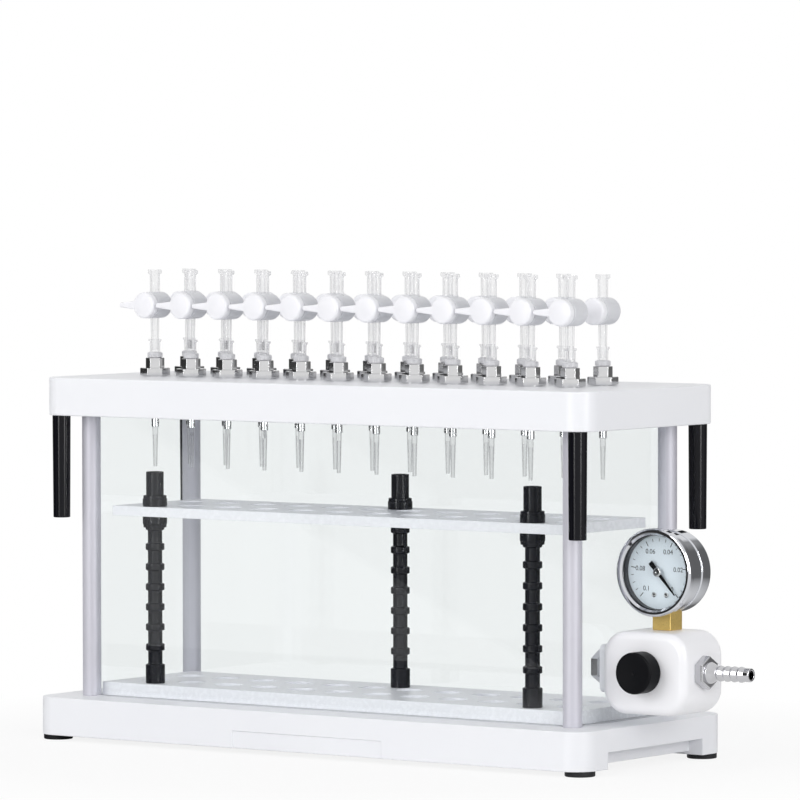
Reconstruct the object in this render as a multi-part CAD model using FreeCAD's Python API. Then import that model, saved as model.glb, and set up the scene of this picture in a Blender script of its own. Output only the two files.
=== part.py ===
import FreeCAD, Part

import math
import os

# Vacuum manifold with twenty-four channels, for solid-phase extraction.
# Millimetres. X runs right along the front, Y to the back, Z up.
# The origin is on the bench, under the centre of the base plate.

Vector = FreeCAD.Vector
ALONG_X = Vector(1, 0, 0)
ALONG_Y = Vector(0, 1, 0)
UPWARD = Vector(0, 0, 1)

# Driving dimensions of the channels
PORT_PITCH = 28.0
PORTS_PER_ROW = 12
ROW_Y = 17.2

# Base plate and feet
BASE_HALF_X = 203.0
BASE_HALF_Y = 76.5
BASE_BOTTOM = 3.2
BASE_TOP = 26.4
BASE_CORNER = 14.5
BASE_RIM = 2.0
LABEL_RECESS_X = (-50.0, 60.0)
LABEL_RECESS_TOP = 13.6
LABEL_RECESS_DEPTH = 1.0
GRIP_HALF_Y = 50.0
GRIP_DEPTH = 10.0
GRIP_TOP = 13.0
GRIP_SOLE = 5.2
GRIP_SOLE_DEPTH = 34.0
FOOT_X = 193.0
FOOT_Y = 64.5
FOOT_RADIUS = 8.9

# Glass tank: posts, panes and the strip that seals their foot
POST_X = 178.0
POST_Y = 50.0
POST_RADIUS = 5.7
TANK_TOP = 198.3
PANE_THICKNESS = 5.0
PANE_PLAY = 0.05
PANE_INTO_POST = 3.0
STRIP_DEPTH = 1.5
STRIP_PROUD = 0.5

# Lid and the legs that it stands on when it is lifted off
LID_HALF_X = 201.0
LID_HALF_Y = 71.5
LID_BOTTOM = 198.6
LID_TOP = 221.8
LID_CORNER = 14.0
LID_RIM = 1.2
SEAL_OVERLAP = 2.0
SEAL_THICKNESS = 2.0
LEG_X = 190.6
LEG_Y = 63.4
LEG_TOP_RADIUS = 5.6
LEG_TIP_RADIUS = 5.2
LEG_LENGTH = 62.6

# Channel fittings, heights counted from the top of the lid
FITTING_FLANGE_FLATS = 16.0
FITTING_FLANGE_HEIGHT = 5.2
FITTING_HEX_FLATS = 10.0
FITTING_HEX_HEIGHT = 6.2
SLEEVE_RADIUS = 2.3
SLEEVE_BELOW_LID = 8.0
NEEDLE_TOP_RADIUS = 1.7
NEEDLE_TIP_RADIUS = 1.2
NEEDLE_LENGTH = 24.3

# Stopcocks
SOCKET_RADIUS = 3.3
STEM_RADIUS = 2.7
DRUM_RADIUS = 8.1
DRUM_FRONT = -6.5
DRUM_BACK = 8.5
DRUM_AXIS_HEIGHT = 43.7
BARREL_RADIUS = 3.1
BARREL_LIP_HALF_X = 4.4
BARREL_LIP_HALF_Y = 3.1
BARREL_LIP_HEIGHT = 2.2
STOPCOCK_HEIGHT = 65.4
PLUG_RADIUS = 3.0
BORE_RADIUS = 3.35
PLUG_DEPTH = 10.0
PLUG_END_PLAY = 0.3
HANDLE_FRONT = -12.6
HANDLE_BACK = -6.8
HANDLE_RADIUS = 8.0
LEVER_REACH = 18.6
LEVER_ROOT_HALF = 2.8
LEVER_TIP_HALF = 1.3
LEVER_BACK = -9.4

# Most round parts are made with flats, fewer where a part is slim or repeats, to keep the model light
SLIM_FLATS = 6
DRUM_FLATS = 8
POST_FLATS = 12
KNOB_FLATS = 24
GAUGE_FLATS = 32

# Tube rack
RACK_HALF_X = 174.0
RACK_HALF_Y = 45.0
RACK_TOP = 34.7
TUBE_HOLE_RADIUS = 8.5
SEAT_DEPTH = 4.5
SHELF_HALF_X = 166.8
SHELF_HALF_Y = 43.5
SHELF_BOTTOM = 137.0
SHELF_TOP = 143.0
FRONT_POLE_X = 5 * PORT_PITCH
FRONT_POLE_Y = -35.6
REAR_POLE_Y = 26.5
POLE_RADIUS = 4.4
POLE_TOP = 164.3
RING_RADIUS = 5.75
RING_HEIGHT = 4.7
RING_PITCH = 12.3
FIRST_RING = 54.5
RING_COUNT = 7
POLE_FOOT_RADIUS = 5.9
POLE_FOOT_HEIGHT = 12.0
POLE_CAP_RADIUS = 5.4
POLE_CAP_BOTTOM = 149.6
POLE_CLEARANCE = 0.35
RING_SLOPE = 0.8
CLIP_RADIUS = 7.5
CLIP_HEIGHT = 6.8
CLIP_RIM_HEIGHT = 3.6
CLIP_SLOPE = 0.9
CLIP_NECK_WALL = 0.9

# Vacuum block on the right pane, with its port, knob and hose barb
BLOCK_LEFT = 186.5
BLOCK_RIGHT = 244.5
BLOCK_FRONT = -33.0
BLOCK_BACK = 9.0
BLOCK_BOTTOM = 33.8
BLOCK_TOP = 82.0
BLOCK_ROUNDING = 14.5
BLOCK_RIM = 4.0
BLOCK_CORNER_STEPS = 6
BLOCK_AXIS_Z = 59.0
PORT_Y = -12.0
FLANGE_SIDE = 28.0
FLANGE_CORNER = 3.5
PORT_TUBE_RADIUS = 5.8
PORT_NUT_FLATS = 17.0
PORT_NUT_THICKNESS = 4.5
PORT_TUBE_PROUD = 1.0
KNOB_X = 216.0
KNOB_RADIUS = 12.15
KNOB_LENGTH = 11.0
KNOB_RIM = 0.8
KNOB_GAP = 0.3
SPINDLE_RADIUS = 4.0
SPINDLE_PLAY = 0.05
SPINDLE_DEPTH = 14.0
SPINDLE_END_PLAY = 0.5
BARB_Y = -14.5
BARB_HEX_FLATS = 17.0
BARB_HEX_END = 250.0
BARB_TIP = 278.0
BARB_BORE_RADIUS = 2.6
BARB_NECK_RADIUS = 3.9
BARB_RIDGE_RADIUS = 4.6
BARB_RIDGE_COUNT = 4
BARB_RIDGE_PITCH = 4.7
BARB_RIDGE_STEP = 1.2
BARB_COLLAR_RADIUS = 6.4
BARB_NOSE = 3.2
BARB_NOSE_RADIUS = 4.0

# Gauge
STEM_X = 216.0
STEM_Y = -8.0
STEM_SIDE = 12.6
GAUGE_CENTRE_Z = 116.0
GAUGE_BACK = 2.2
CASE_RADIUS = 24.1
CASE_WALL = 1.6
DIAL_FRONT = -16.6
DIAL_THICKNESS = 1.0
WINDOW_BACK = -20.6
WINDOW_FRONT = -22.2
BEZEL_FRONT = -23.6
BEZEL_BACK = -18.6
BEZEL_RADIUS = 25.7
BEZEL_SIGHT_RADIUS = 21.9
BEZEL_EDGE = 1.2
POINTER_SHAFT_RADIUS = 1.2
POINTER_PLAY = 0.05
POINTER_HUB_RADIUS = 2.7
POINTER_REACH = 17.5
POINTER_TAIL = 7.5
POINTER_REST_DEG = -48.0
POINTER_PLANE = -18.8
POINTER_THICKNESS = 0.8
POINTER_HUB_PROUD = 0.9
POINTER_END_PLAY = 0.2
POINTER_ROOT_HALF = 1.1
POINTER_TIP_HALF = 0.3
POINTER_TAIL_HALF = 1.5


def flat_bar(half_x, half_y, bottom, height):
    """A square-cornered plate about the origin."""
    return Part.makeBox(2 * half_x, 2 * half_y, height, Vector(-half_x, -half_y, bottom))


def edges_along(solid, axis):
    """Every straight edge of a box that runs along an axis."""
    return [edge for edge in solid.Edges if abs(edge.tangentAt(edge.FirstParameter).dot(axis)) > 0.99]


def rounded_plate(half_x, half_y, bottom, top, corner):
    """A flat plate about the origin with its upright edges rounded."""
    plate = flat_bar(half_x, half_y, bottom, top - bottom)
    return plate.makeFillet(corner, edges_along(plate, UPWARD))


def edges_at_height(solid, height):
    """Every edge of a solid that lies flat at one height."""
    return [
        edge
        for edge in solid.Edges
        if abs(edge.BoundBox.ZMin - height) < 1e-4 and abs(edge.BoundBox.ZMax - height) < 1e-4
    ]


def prism(points, lift):
    """A solid made by moving a flat outline along a vector."""
    outline = Part.makePolygon(points + [points[0]])
    return Part.Face(outline).extrude(lift)


def ring_of_points(centre, axis, radius, flats, turn_deg):
    """The corners of a regular polygon square to an axis, turned from its first side direction."""
    first = ALONG_Y if axis == ALONG_X else ALONG_X
    second = ALONG_Y if axis == UPWARD else UPWARD
    points = []
    for index in range(flats):
        angle = math.radians(turn_deg + 360.0 * index / flats)
        points.append(centre + first * (radius * math.cos(angle)) + second * (radius * math.sin(angle)))
    return points


def flat_face(points):
    """A flat face inside a closed outline."""
    return Part.Face(Part.makePolygon(points + [points[0]]))


def turned(profile, start, axis, flats, turn_deg=None):
    """A solid turned with flats from (distance along the axis, radius) pairs.

    It is closed by a flat end at the first and the last pair, or is a ring where they are the same.
    """
    turn = 180.0 / flats if turn_deg is None else turn_deg
    rings = [ring_of_points(start + axis * along, axis, radius, flats, turn) for along, radius in profile]
    faces = []
    for ring, next_ring in zip(rings, rings[1:]):
        for index in range(flats):
            after = (index + 1) % flats
            faces.append(flat_face([ring[index], ring[after], next_ring[after], next_ring[index]]))
    if profile[0] != profile[-1]:
        faces += [flat_face(rings[0]), flat_face(rings[-1])]
    return Part.Solid(Part.Shell(faces)).removeSplitter()


def barrel(radius, start, length, axis, flats, turn_deg=None):
    """A plain bar with flats."""
    return turned([(0, radius), (length, radius)], start, axis, flats, turn_deg)


def hexagon_bar(across_flats, start, length, axis, turn_deg=None):
    """A plain hexagonal bar."""
    return barrel(across_flats / math.sqrt(3.0), start, length, axis, 6, turn_deg)


def rod(radius, start, length, axis):
    """A true round bar, for what turns in a bore and for that bore."""
    return Part.makeCylinder(radius, length, start, axis)


def port_places():
    """The (name, x, y) of every channel, the front row first."""
    first = -PORT_PITCH * (PORTS_PER_ROW - 1) / 2
    places = []
    for row, y in (("front", -ROW_Y), ("rear", ROW_Y)):
        for index in range(PORTS_PER_ROW):
            places.append((f"{row}_{index + 1:02d}", first + PORT_PITCH * index, y))
    return places


def corners_of(x, y):
    """The four places that mirror one corner of the tank."""
    return [(-x, -y), (x, -y), (-x, y), (x, y)]


def base_plate():
    """The thick plastic slab that carries the tank, with its hand grips and bare label recess."""
    plate = rounded_plate(BASE_HALF_X, BASE_HALF_Y, BASE_BOTTOM, BASE_TOP, BASE_CORNER)
    plate = plate.makeChamfer(BASE_RIM, edges_at_height(plate, BASE_TOP))
    label = Part.makeBox(
        LABEL_RECESS_X[1] - LABEL_RECESS_X[0],
        LABEL_RECESS_DEPTH,
        LABEL_RECESS_TOP - BASE_BOTTOM,
        Vector(LABEL_RECESS_X[0], -BASE_HALF_Y, BASE_BOTTOM),
    )
    plate = plate.cut(label)
    for grip_corner, sole_corner in (
        (BASE_HALF_X - GRIP_DEPTH, BASE_HALF_X - GRIP_SOLE_DEPTH),
        (-BASE_HALF_X, -BASE_HALF_X),
    ):
        grip_start = Vector(grip_corner, -GRIP_HALF_Y, BASE_BOTTOM)
        sole_start = Vector(sole_corner, -GRIP_HALF_Y, BASE_BOTTOM)
        grip = Part.makeBox(GRIP_DEPTH, 2 * GRIP_HALF_Y, GRIP_TOP - BASE_BOTTOM, grip_start)
        sole = Part.makeBox(GRIP_SOLE_DEPTH, 2 * GRIP_HALF_Y, GRIP_SOLE - BASE_BOTTOM, sole_start)
        plate = plate.cut([grip, sole])
    for strip in seal_strips(BASE_TOP + STRIP_PROUD):
        plate = plate.cut(strip)
    return [plate]


def seal_strips(top):
    """Four soft strips, one under each pane, sunk into the base between the posts."""
    height = STRIP_DEPTH + STRIP_PROUD
    long_half = POST_X - POST_RADIUS
    short_half = POST_Y - POST_RADIUS
    strips = []
    for side in (-1, 1):
        long_start = Vector(-long_half, side * POST_Y - PANE_THICKNESS / 2, top - height)
        short_start = Vector(side * POST_X - PANE_THICKNESS / 2, -short_half, top - height)
        strips.append(Part.makeBox(2 * long_half, PANE_THICKNESS, height, long_start))
        strips.append(Part.makeBox(PANE_THICKNESS, 2 * short_half, height, short_start))
    return strips


def rubber_feet():
    """Four round pads stuck under the corners of the base."""
    return [
        barrel(FOOT_RADIUS, Vector(x, y, 0), BASE_BOTTOM, UPWARD, POST_FLATS)
        for x, y in corners_of(FOOT_X, FOOT_Y)
    ]


def corner_posts():
    """Four round posts, each slotted for the two panes that meet in it."""
    posts = []
    slot_width = PANE_THICKNESS + 2 * PANE_PLAY
    slot_length = POST_RADIUS + PANE_INTO_POST
    height = TANK_TOP - BASE_TOP
    for x, y in corners_of(POST_X, POST_Y):
        post = barrel(POST_RADIUS, Vector(x, y, BASE_TOP), height, UPWARD, POST_FLATS)
        inward_x = x - math.copysign(PANE_INTO_POST, x)
        inward_y = y - math.copysign(PANE_INTO_POST, y)
        start_x = min(inward_x, inward_x - math.copysign(slot_length, x))
        start_y = min(inward_y, inward_y - math.copysign(slot_length, y))
        post = post.cut(
            Part.makeBox(slot_length, slot_width, height, Vector(start_x, y - slot_width / 2, BASE_TOP))
        )
        post = post.cut(
            Part.makeBox(slot_width, slot_length, height, Vector(x - slot_width / 2, start_y, BASE_TOP))
        )
        posts.append(post)
    return posts


def long_pane(side):
    """The front or back pane; its ends sit in the slots of the posts."""
    half = POST_X - PANE_INTO_POST
    start = Vector(-half, side * POST_Y - PANE_THICKNESS / 2, BASE_TOP + STRIP_PROUD)
    return [Part.makeBox(2 * half, PANE_THICKNESS, TANK_TOP - BASE_TOP - STRIP_PROUD, start)]


def end_pane(side):
    """A pane across one end; the right one is drilled for the vacuum port."""
    half = POST_Y - PANE_INTO_POST
    start = Vector(side * POST_X - PANE_THICKNESS / 2, -half, BASE_TOP + STRIP_PROUD)
    pane = Part.makeBox(PANE_THICKNESS, 2 * half, TANK_TOP - BASE_TOP - STRIP_PROUD, start)
    if side > 0:
        start = Vector(POST_X - PANE_THICKNESS, PORT_Y, BLOCK_AXIS_Z)
        pane = pane.cut(barrel(PORT_TUBE_RADIUS, start, 2 * PANE_THICKNESS, ALONG_X, POST_FLATS))
    return [pane]


def lid_plate():
    """The thick lid, bored for the channel fittings and grooved for its seal."""
    plate = rounded_plate(LID_HALF_X, LID_HALF_Y, LID_BOTTOM, LID_TOP, LID_CORNER)
    plate = plate.makeChamfer(LID_RIM, edges_at_height(plate, LID_TOP) + edges_at_height(plate, LID_BOTTOM))
    thickness = LID_TOP - LID_BOTTOM
    holes = [
        barrel(SLEEVE_RADIUS, Vector(x, y, LID_BOTTOM), thickness, UPWARD, SLIM_FLATS)
        for _, x, y in port_places()
    ]
    return [plate.cut(holes + lid_seal())]


def lid_seal():
    """The flat silicone frame set flush into the underside of the lid, over the rim of the tank."""
    reach = PANE_THICKNESS / 2 + SEAL_OVERLAP
    frame = flat_bar(POST_X + reach, POST_Y + reach, LID_BOTTOM, SEAL_THICKNESS)
    inner = flat_bar(POST_X - reach, POST_Y - reach, LID_BOTTOM, SEAL_THICKNESS)
    return [frame.cut(inner)]


def lid_legs():
    """Four black legs under the lid, slightly tapered, outside the tank."""
    profile = [(0, LEG_TIP_RADIUS), (LEG_LENGTH, LEG_TOP_RADIUS)]
    return [
        turned(profile, Vector(x, y, LID_BOTTOM - LEG_LENGTH), UPWARD, POST_FLATS)
        for x, y in corners_of(LEG_X, LEG_Y)
    ]


def port_fitting(x, y):
    """A plated bulkhead fitting: wide hex on the lid, small hex above, sleeve down through the lid."""
    foot = Vector(x, y, LID_TOP)
    flange = hexagon_bar(FITTING_FLANGE_FLATS, foot, FITTING_FLANGE_HEIGHT, UPWARD, 0)
    hex_foot = foot + UPWARD * FITTING_FLANGE_HEIGHT
    upper = hexagon_bar(FITTING_HEX_FLATS, hex_foot, FITTING_HEX_HEIGHT, UPWARD, 0)
    sleeve_bottom = Vector(x, y, LID_BOTTOM - SLEEVE_BELOW_LID)
    sleeve_length = LID_TOP - LID_BOTTOM + SLEEVE_BELOW_LID
    sleeve = barrel(SLEEVE_RADIUS, sleeve_bottom, sleeve_length, UPWARD, SLIM_FLATS)
    return flange.fuse([upper, sleeve]).removeSplitter()


def guide_needle(x, y):
    """A clear tapered needle that leads the drops into the tube below."""
    tip = Vector(x, y, LID_BOTTOM - SLEEVE_BELOW_LID - NEEDLE_LENGTH)
    profile = [(0, NEEDLE_TIP_RADIUS), (NEEDLE_LENGTH, NEEDLE_TOP_RADIUS)]
    return turned(profile, tip, UPWARD, SLIM_FLATS)


def stopcock_body(x, y):
    """The still half of a stopcock: tapered stem, drum, and the barrel with two ears for a cartridge."""
    foot = Vector(x, y, LID_TOP + FITTING_FLANGE_HEIGHT + FITTING_HEX_HEIGHT)
    axis = Vector(x, y, LID_TOP + DRUM_AXIS_HEIGHT)
    ears_foot = LID_TOP + STOPCOCK_HEIGHT - BARREL_LIP_HEIGHT
    ears_corner = Vector(x - BARREL_LIP_HALF_X, y - BARREL_LIP_HALF_Y, ears_foot)
    stem = turned([(0, SOCKET_RADIUS), (axis.z - foot.z, STEM_RADIUS)], foot, UPWARD, SLIM_FLATS)
    upper = barrel(BARREL_RADIUS, axis, ears_foot - axis.z, UPWARD, SLIM_FLATS)
    ears = Part.makeBox(2 * BARREL_LIP_HALF_X, 2 * BARREL_LIP_HALF_Y, BARREL_LIP_HEIGHT, ears_corner)
    front = axis + ALONG_Y * DRUM_FRONT
    drum = barrel(DRUM_RADIUS, front, DRUM_BACK - DRUM_FRONT, ALONG_Y, DRUM_FLATS)
    bore = barrel(BORE_RADIUS, front, PLUG_DEPTH, ALONG_Y, DRUM_FLATS)
    return drum.fuse([stem, upper, ears]).cut(bore).removeSplitter()


def stopcock_handle(x, y):
    """The turning half of a stopcock: plug, round head and a lever that points left when shut."""
    axis = Vector(x, y, LID_TOP + DRUM_AXIS_HEIGHT)
    front = axis + ALONG_Y * HANDLE_FRONT
    head = barrel(HANDLE_RADIUS, front, HANDLE_BACK - HANDLE_FRONT, ALONG_Y, DRUM_FLATS)
    plug_length = DRUM_FRONT - HANDLE_BACK + PLUG_DEPTH - PLUG_END_PLAY
    plug = barrel(PLUG_RADIUS, axis + ALONG_Y * HANDLE_BACK, plug_length, ALONG_Y, SLIM_FLATS)
    lever = prism(
        [
            front + UPWARD * LEVER_ROOT_HALF,
            front + UPWARD * LEVER_TIP_HALF - ALONG_X * LEVER_REACH,
            front - UPWARD * LEVER_TIP_HALF - ALONG_X * LEVER_REACH,
            front - UPWARD * LEVER_ROOT_HALF,
        ],
        ALONG_Y * (LEVER_BACK - HANDLE_FRONT),
    )
    return head.fuse([plug, lever]).removeSplitter()


def rack_base():
    """The lower rack plate, with a round seat for the foot of every tube."""
    plate = flat_bar(RACK_HALF_X, RACK_HALF_Y, BASE_TOP, RACK_TOP - BASE_TOP)
    return [plate.cut(tube_holes(RACK_TOP - SEAT_DEPTH, SEAT_DEPTH))]


def tube_holes(bottom, depth):
    """The room that one level of the rack leaves for every tube, with flats round the true circle."""
    corner_radius = TUBE_HOLE_RADIUS / math.cos(math.pi / DRUM_FLATS)
    return [
        barrel(corner_radius, Vector(x, y, bottom), depth, UPWARD, DRUM_FLATS)
        for _, x, y in port_places()
    ]


def pole_places():
    """The (name, x, y) of the three notched poles."""
    return [
        ("left", -FRONT_POLE_X, FRONT_POLE_Y),
        ("right", FRONT_POLE_X, FRONT_POLE_Y),
        ("rear", 0.0, REAR_POLE_Y),
    ]


def rack_pole(x, y):
    """A notched pole: foot sleeve, evenly spaced rings for the clips, and a plain cap."""
    foot_top = RACK_TOP + POLE_FOOT_HEIGHT
    profile = [
        (RACK_TOP, POLE_FOOT_RADIUS),
        (foot_top - RING_SLOPE, POLE_FOOT_RADIUS),
        (foot_top, POLE_RADIUS),
    ]
    for index in range(RING_COUNT):
        ring_foot = FIRST_RING + RING_PITCH * index
        ring_top = ring_foot + RING_HEIGHT
        profile += [
            (ring_foot, POLE_RADIUS),
            (ring_foot + RING_SLOPE, RING_RADIUS),
            (ring_top - RING_SLOPE, RING_RADIUS),
            (ring_top, POLE_RADIUS),
        ]
    profile += [
        (POLE_CAP_BOTTOM - RING_SLOPE, POLE_RADIUS),
        (POLE_CAP_BOTTOM, POLE_CAP_RADIUS),
        (POLE_TOP, POLE_CAP_RADIUS),
    ]
    return turned(profile, Vector(x, y, 0), UPWARD, DRUM_FLATS)


def rack_shelf():
    """The upper rack plate, with a hole for every tube and one for every pole."""
    thickness = SHELF_TOP - SHELF_BOTTOM
    plate = flat_bar(SHELF_HALF_X, SHELF_HALF_Y, SHELF_BOTTOM, thickness)
    pole_holes = [
        barrel(RING_RADIUS + POLE_CLEARANCE, Vector(x, y, SHELF_BOTTOM), thickness, UPWARD, DRUM_FLATS)
        for _, x, y in pole_places()
    ]
    return [plate.cut(tube_holes(SHELF_BOTTOM, thickness) + pole_holes)]


def shelf_clips():
    """Collars round the poles, above and below the shelf; the rear pole has only the upper one."""
    room = RING_RADIUS + POLE_CLEARANCE
    profile = [
        (0, room),
        (0, CLIP_RADIUS),
        (CLIP_RIM_HEIGHT, CLIP_RADIUS),
        (CLIP_RIM_HEIGHT + CLIP_SLOPE, room + CLIP_NECK_WALL),
        (CLIP_HEIGHT, room + CLIP_NECK_WALL),
        (CLIP_HEIGHT, room),
        (0, room),
    ]
    hanging = [(-along, radius) for along, radius in profile]
    clips = []
    for name, x, y in pole_places():
        clips.append(turned(profile, Vector(x, y, SHELF_TOP), UPWARD, DRUM_FLATS))
        if name != "rear":
            clips.append(turned(hanging, Vector(x, y, SHELF_BOTTOM), UPWARD, DRUM_FLATS))
    return clips


def soft_outline(half_x, half_z, rounding, centre):
    """An upright rectangle with rounded corners, each as a few short sides."""
    points = []
    quarters = ((1, 1), (-1, 1), (-1, -1), (1, -1))
    for quarter, (side_x, side_z) in enumerate(quarters):
        corner_x = side_x * (half_x - rounding)
        corner_z = side_z * (half_z - rounding)
        for step in range(BLOCK_CORNER_STEPS + 1):
            angle = math.radians(90.0 * (quarter + step / BLOCK_CORNER_STEPS))
            across = ALONG_X * (corner_x + rounding * math.cos(angle))
            upward = UPWARD * (corner_z + rounding * math.sin(angle))
            points.append(centre + across + upward)
    return points


def vacuum_block():
    """The soft-cornered block that joins the tank, the gauge, the regulator and the hose."""
    half_x = (BLOCK_RIGHT - BLOCK_LEFT) / 2
    half_z = (BLOCK_TOP - BLOCK_BOTTOM) / 2
    rings = []
    for inset, y in (
        (BLOCK_RIM, BLOCK_FRONT),
        (0, BLOCK_FRONT + BLOCK_RIM),
        (0, BLOCK_BACK - BLOCK_RIM),
        (BLOCK_RIM, BLOCK_BACK),
    ):
        centre = Vector(BLOCK_LEFT + half_x, y, BLOCK_BOTTOM + half_z)
        rings.append(soft_outline(half_x - inset, half_z - inset, BLOCK_ROUNDING - inset, centre))
    faces = [flat_face(rings[0]), flat_face(rings[-1])]
    for ring, next_ring in zip(rings, rings[1:]):
        for index in range(len(ring)):
            before = index - 1
            faces.append(flat_face([ring[before], ring[index], next_ring[index], next_ring[before]]))
    block = Part.Solid(Part.Shell(faces))
    front = Vector(KNOB_X, BLOCK_FRONT, BLOCK_AXIS_Z)
    return [block.cut(rod(SPINDLE_RADIUS + SPINDLE_PLAY, front, SPINDLE_DEPTH, ALONG_Y))]


def vacuum_port():
    """The square flange that carries the block, with its tube through the right pane."""
    outer_face = POST_X + PANE_THICKNESS / 2
    inner_end = POST_X - PANE_THICKNESS / 2 - PORT_NUT_THICKNESS - PORT_TUBE_PROUD
    centre = Vector(0, PORT_Y, BLOCK_AXIS_Z)
    corner = Vector(outer_face, PORT_Y - FLANGE_SIDE / 2, BLOCK_AXIS_Z - FLANGE_SIDE / 2)
    flange = Part.makeBox(BLOCK_LEFT - outer_face, FLANGE_SIDE, FLANGE_SIDE, corner)
    flange = flange.makeFillet(FLANGE_CORNER, edges_along(flange, ALONG_X))
    tube_length = outer_face - inner_end
    tube = barrel(PORT_TUBE_RADIUS, centre + ALONG_X * inner_end, tube_length, ALONG_X, POST_FLATS)
    return [flange.fuse(tube)]


def port_nut():
    """The hexagonal nut that clamps the vacuum port from inside the tank."""
    inner_face = POST_X - PANE_THICKNESS / 2
    centre = Vector(inner_face - PORT_NUT_THICKNESS, PORT_Y, BLOCK_AXIS_Z)
    nut = hexagon_bar(PORT_NUT_FLATS, centre, PORT_NUT_THICKNESS, ALONG_X)
    return [nut.cut(barrel(PORT_TUBE_RADIUS, centre, PORT_NUT_THICKNESS, ALONG_X, POST_FLATS))]


def regulator_knob():
    """The round bleed knob and its spindle, turned as one piece."""
    face = Vector(KNOB_X, BLOCK_FRONT - KNOB_GAP, BLOCK_AXIS_Z)
    profile = [
        (-KNOB_LENGTH, KNOB_RADIUS - KNOB_RIM),
        (-KNOB_LENGTH + KNOB_RIM, KNOB_RADIUS),
        (0, KNOB_RADIUS),
    ]
    knob = turned(profile, face, ALONG_Y, KNOB_FLATS)
    return [knob.fuse(rod(SPINDLE_RADIUS, face, SPINDLE_DEPTH - SPINDLE_END_PLAY, ALONG_Y))]


def hose_barb():
    """The plated hose tail: hexagon, cone neck, four ridges and a true round nose."""
    centre = Vector(0, BARB_Y, BLOCK_AXIS_Z)
    nose_start = BARB_TIP - BARB_NOSE
    profile = [(BARB_HEX_END, BARB_COLLAR_RADIUS)]
    first_ridge = nose_start - BARB_RIDGE_COUNT * BARB_RIDGE_PITCH
    for index in range(BARB_RIDGE_COUNT):
        foot = first_ridge + index * BARB_RIDGE_PITCH
        profile += [(foot, BARB_NECK_RADIUS), (foot + BARB_RIDGE_STEP, BARB_RIDGE_RADIUS)]
    profile.append((nose_start, BARB_NECK_RADIUS))
    tail = turned(profile, centre, ALONG_X, POST_FLATS)
    nose = rod(BARB_NOSE_RADIUS, centre + ALONG_X * nose_start, BARB_NOSE, ALONG_X)
    start = centre + ALONG_X * BLOCK_RIGHT
    hexagon = hexagon_bar(BARB_HEX_FLATS, start, BARB_HEX_END - BLOCK_RIGHT, ALONG_X)
    bore = barrel(BARB_BORE_RADIUS, start, BARB_TIP - BLOCK_RIGHT, ALONG_X, DRUM_FLATS)
    return [tail.fuse([hexagon, nose]).cut(bore)]


def gauge_stem():
    """The square brass stem that screws into the top of the block."""
    corner = Vector(STEM_X - STEM_SIDE / 2, STEM_Y - STEM_SIDE / 2, BLOCK_TOP)
    square = Part.makeBox(STEM_SIDE, STEM_SIDE, GAUGE_CENTRE_Z - BLOCK_TOP, corner)
    return [square.cut(gauge_envelope())]


def gauge_envelope():
    """The whole outside of the gauge case, used to seat the stem against it."""
    start = Vector(STEM_X, BEZEL_BACK, GAUGE_CENTRE_Z)
    return barrel(CASE_RADIUS, start, GAUGE_BACK - BEZEL_BACK, ALONG_Y, GAUGE_FLATS)


def gauge_case():
    """The round plated cup that holds the movement behind the dial."""
    inner = CASE_RADIUS - CASE_WALL
    profile = [
        (GAUGE_BACK, CASE_RADIUS),
        (WINDOW_BACK, CASE_RADIUS),
        (WINDOW_BACK, inner),
        (DIAL_FRONT + DIAL_THICKNESS, inner),
    ]
    return [turned(profile, Vector(STEM_X, 0, GAUGE_CENTRE_Z), ALONG_Y, GAUGE_FLATS)]


def gauge_bezel():
    """The rolled ring that holds the window on the case."""
    profile = [
        (BEZEL_BACK, CASE_RADIUS),
        (BEZEL_BACK, BEZEL_RADIUS),
        (BEZEL_FRONT + BEZEL_EDGE, BEZEL_RADIUS),
        (BEZEL_FRONT, BEZEL_RADIUS - BEZEL_EDGE),
        (BEZEL_FRONT, BEZEL_SIGHT_RADIUS),
        (WINDOW_FRONT, BEZEL_SIGHT_RADIUS),
        (WINDOW_FRONT, CASE_RADIUS),
        (BEZEL_BACK, CASE_RADIUS),
    ]
    return [turned(profile, Vector(STEM_X, 0, GAUGE_CENTRE_Z), ALONG_Y, GAUGE_FLATS)]


def gauge_window():
    """The flat glass, held between the case and the bezel."""
    start = Vector(STEM_X, WINDOW_FRONT, GAUGE_CENTRE_Z)
    return [barrel(CASE_RADIUS, start, WINDOW_BACK - WINDOW_FRONT, ALONG_Y, GAUGE_FLATS)]


def gauge_dial():
    """The dial disc, drilled for the pointer's shaft."""
    start = Vector(STEM_X, DIAL_FRONT, GAUGE_CENTRE_Z)
    disc = barrel(CASE_RADIUS - CASE_WALL, start, DIAL_THICKNESS, ALONG_Y, GAUGE_FLATS)
    return [disc.cut(rod(POINTER_SHAFT_RADIUS + POINTER_PLAY, start, DIAL_THICKNESS, ALONG_Y))]


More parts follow.
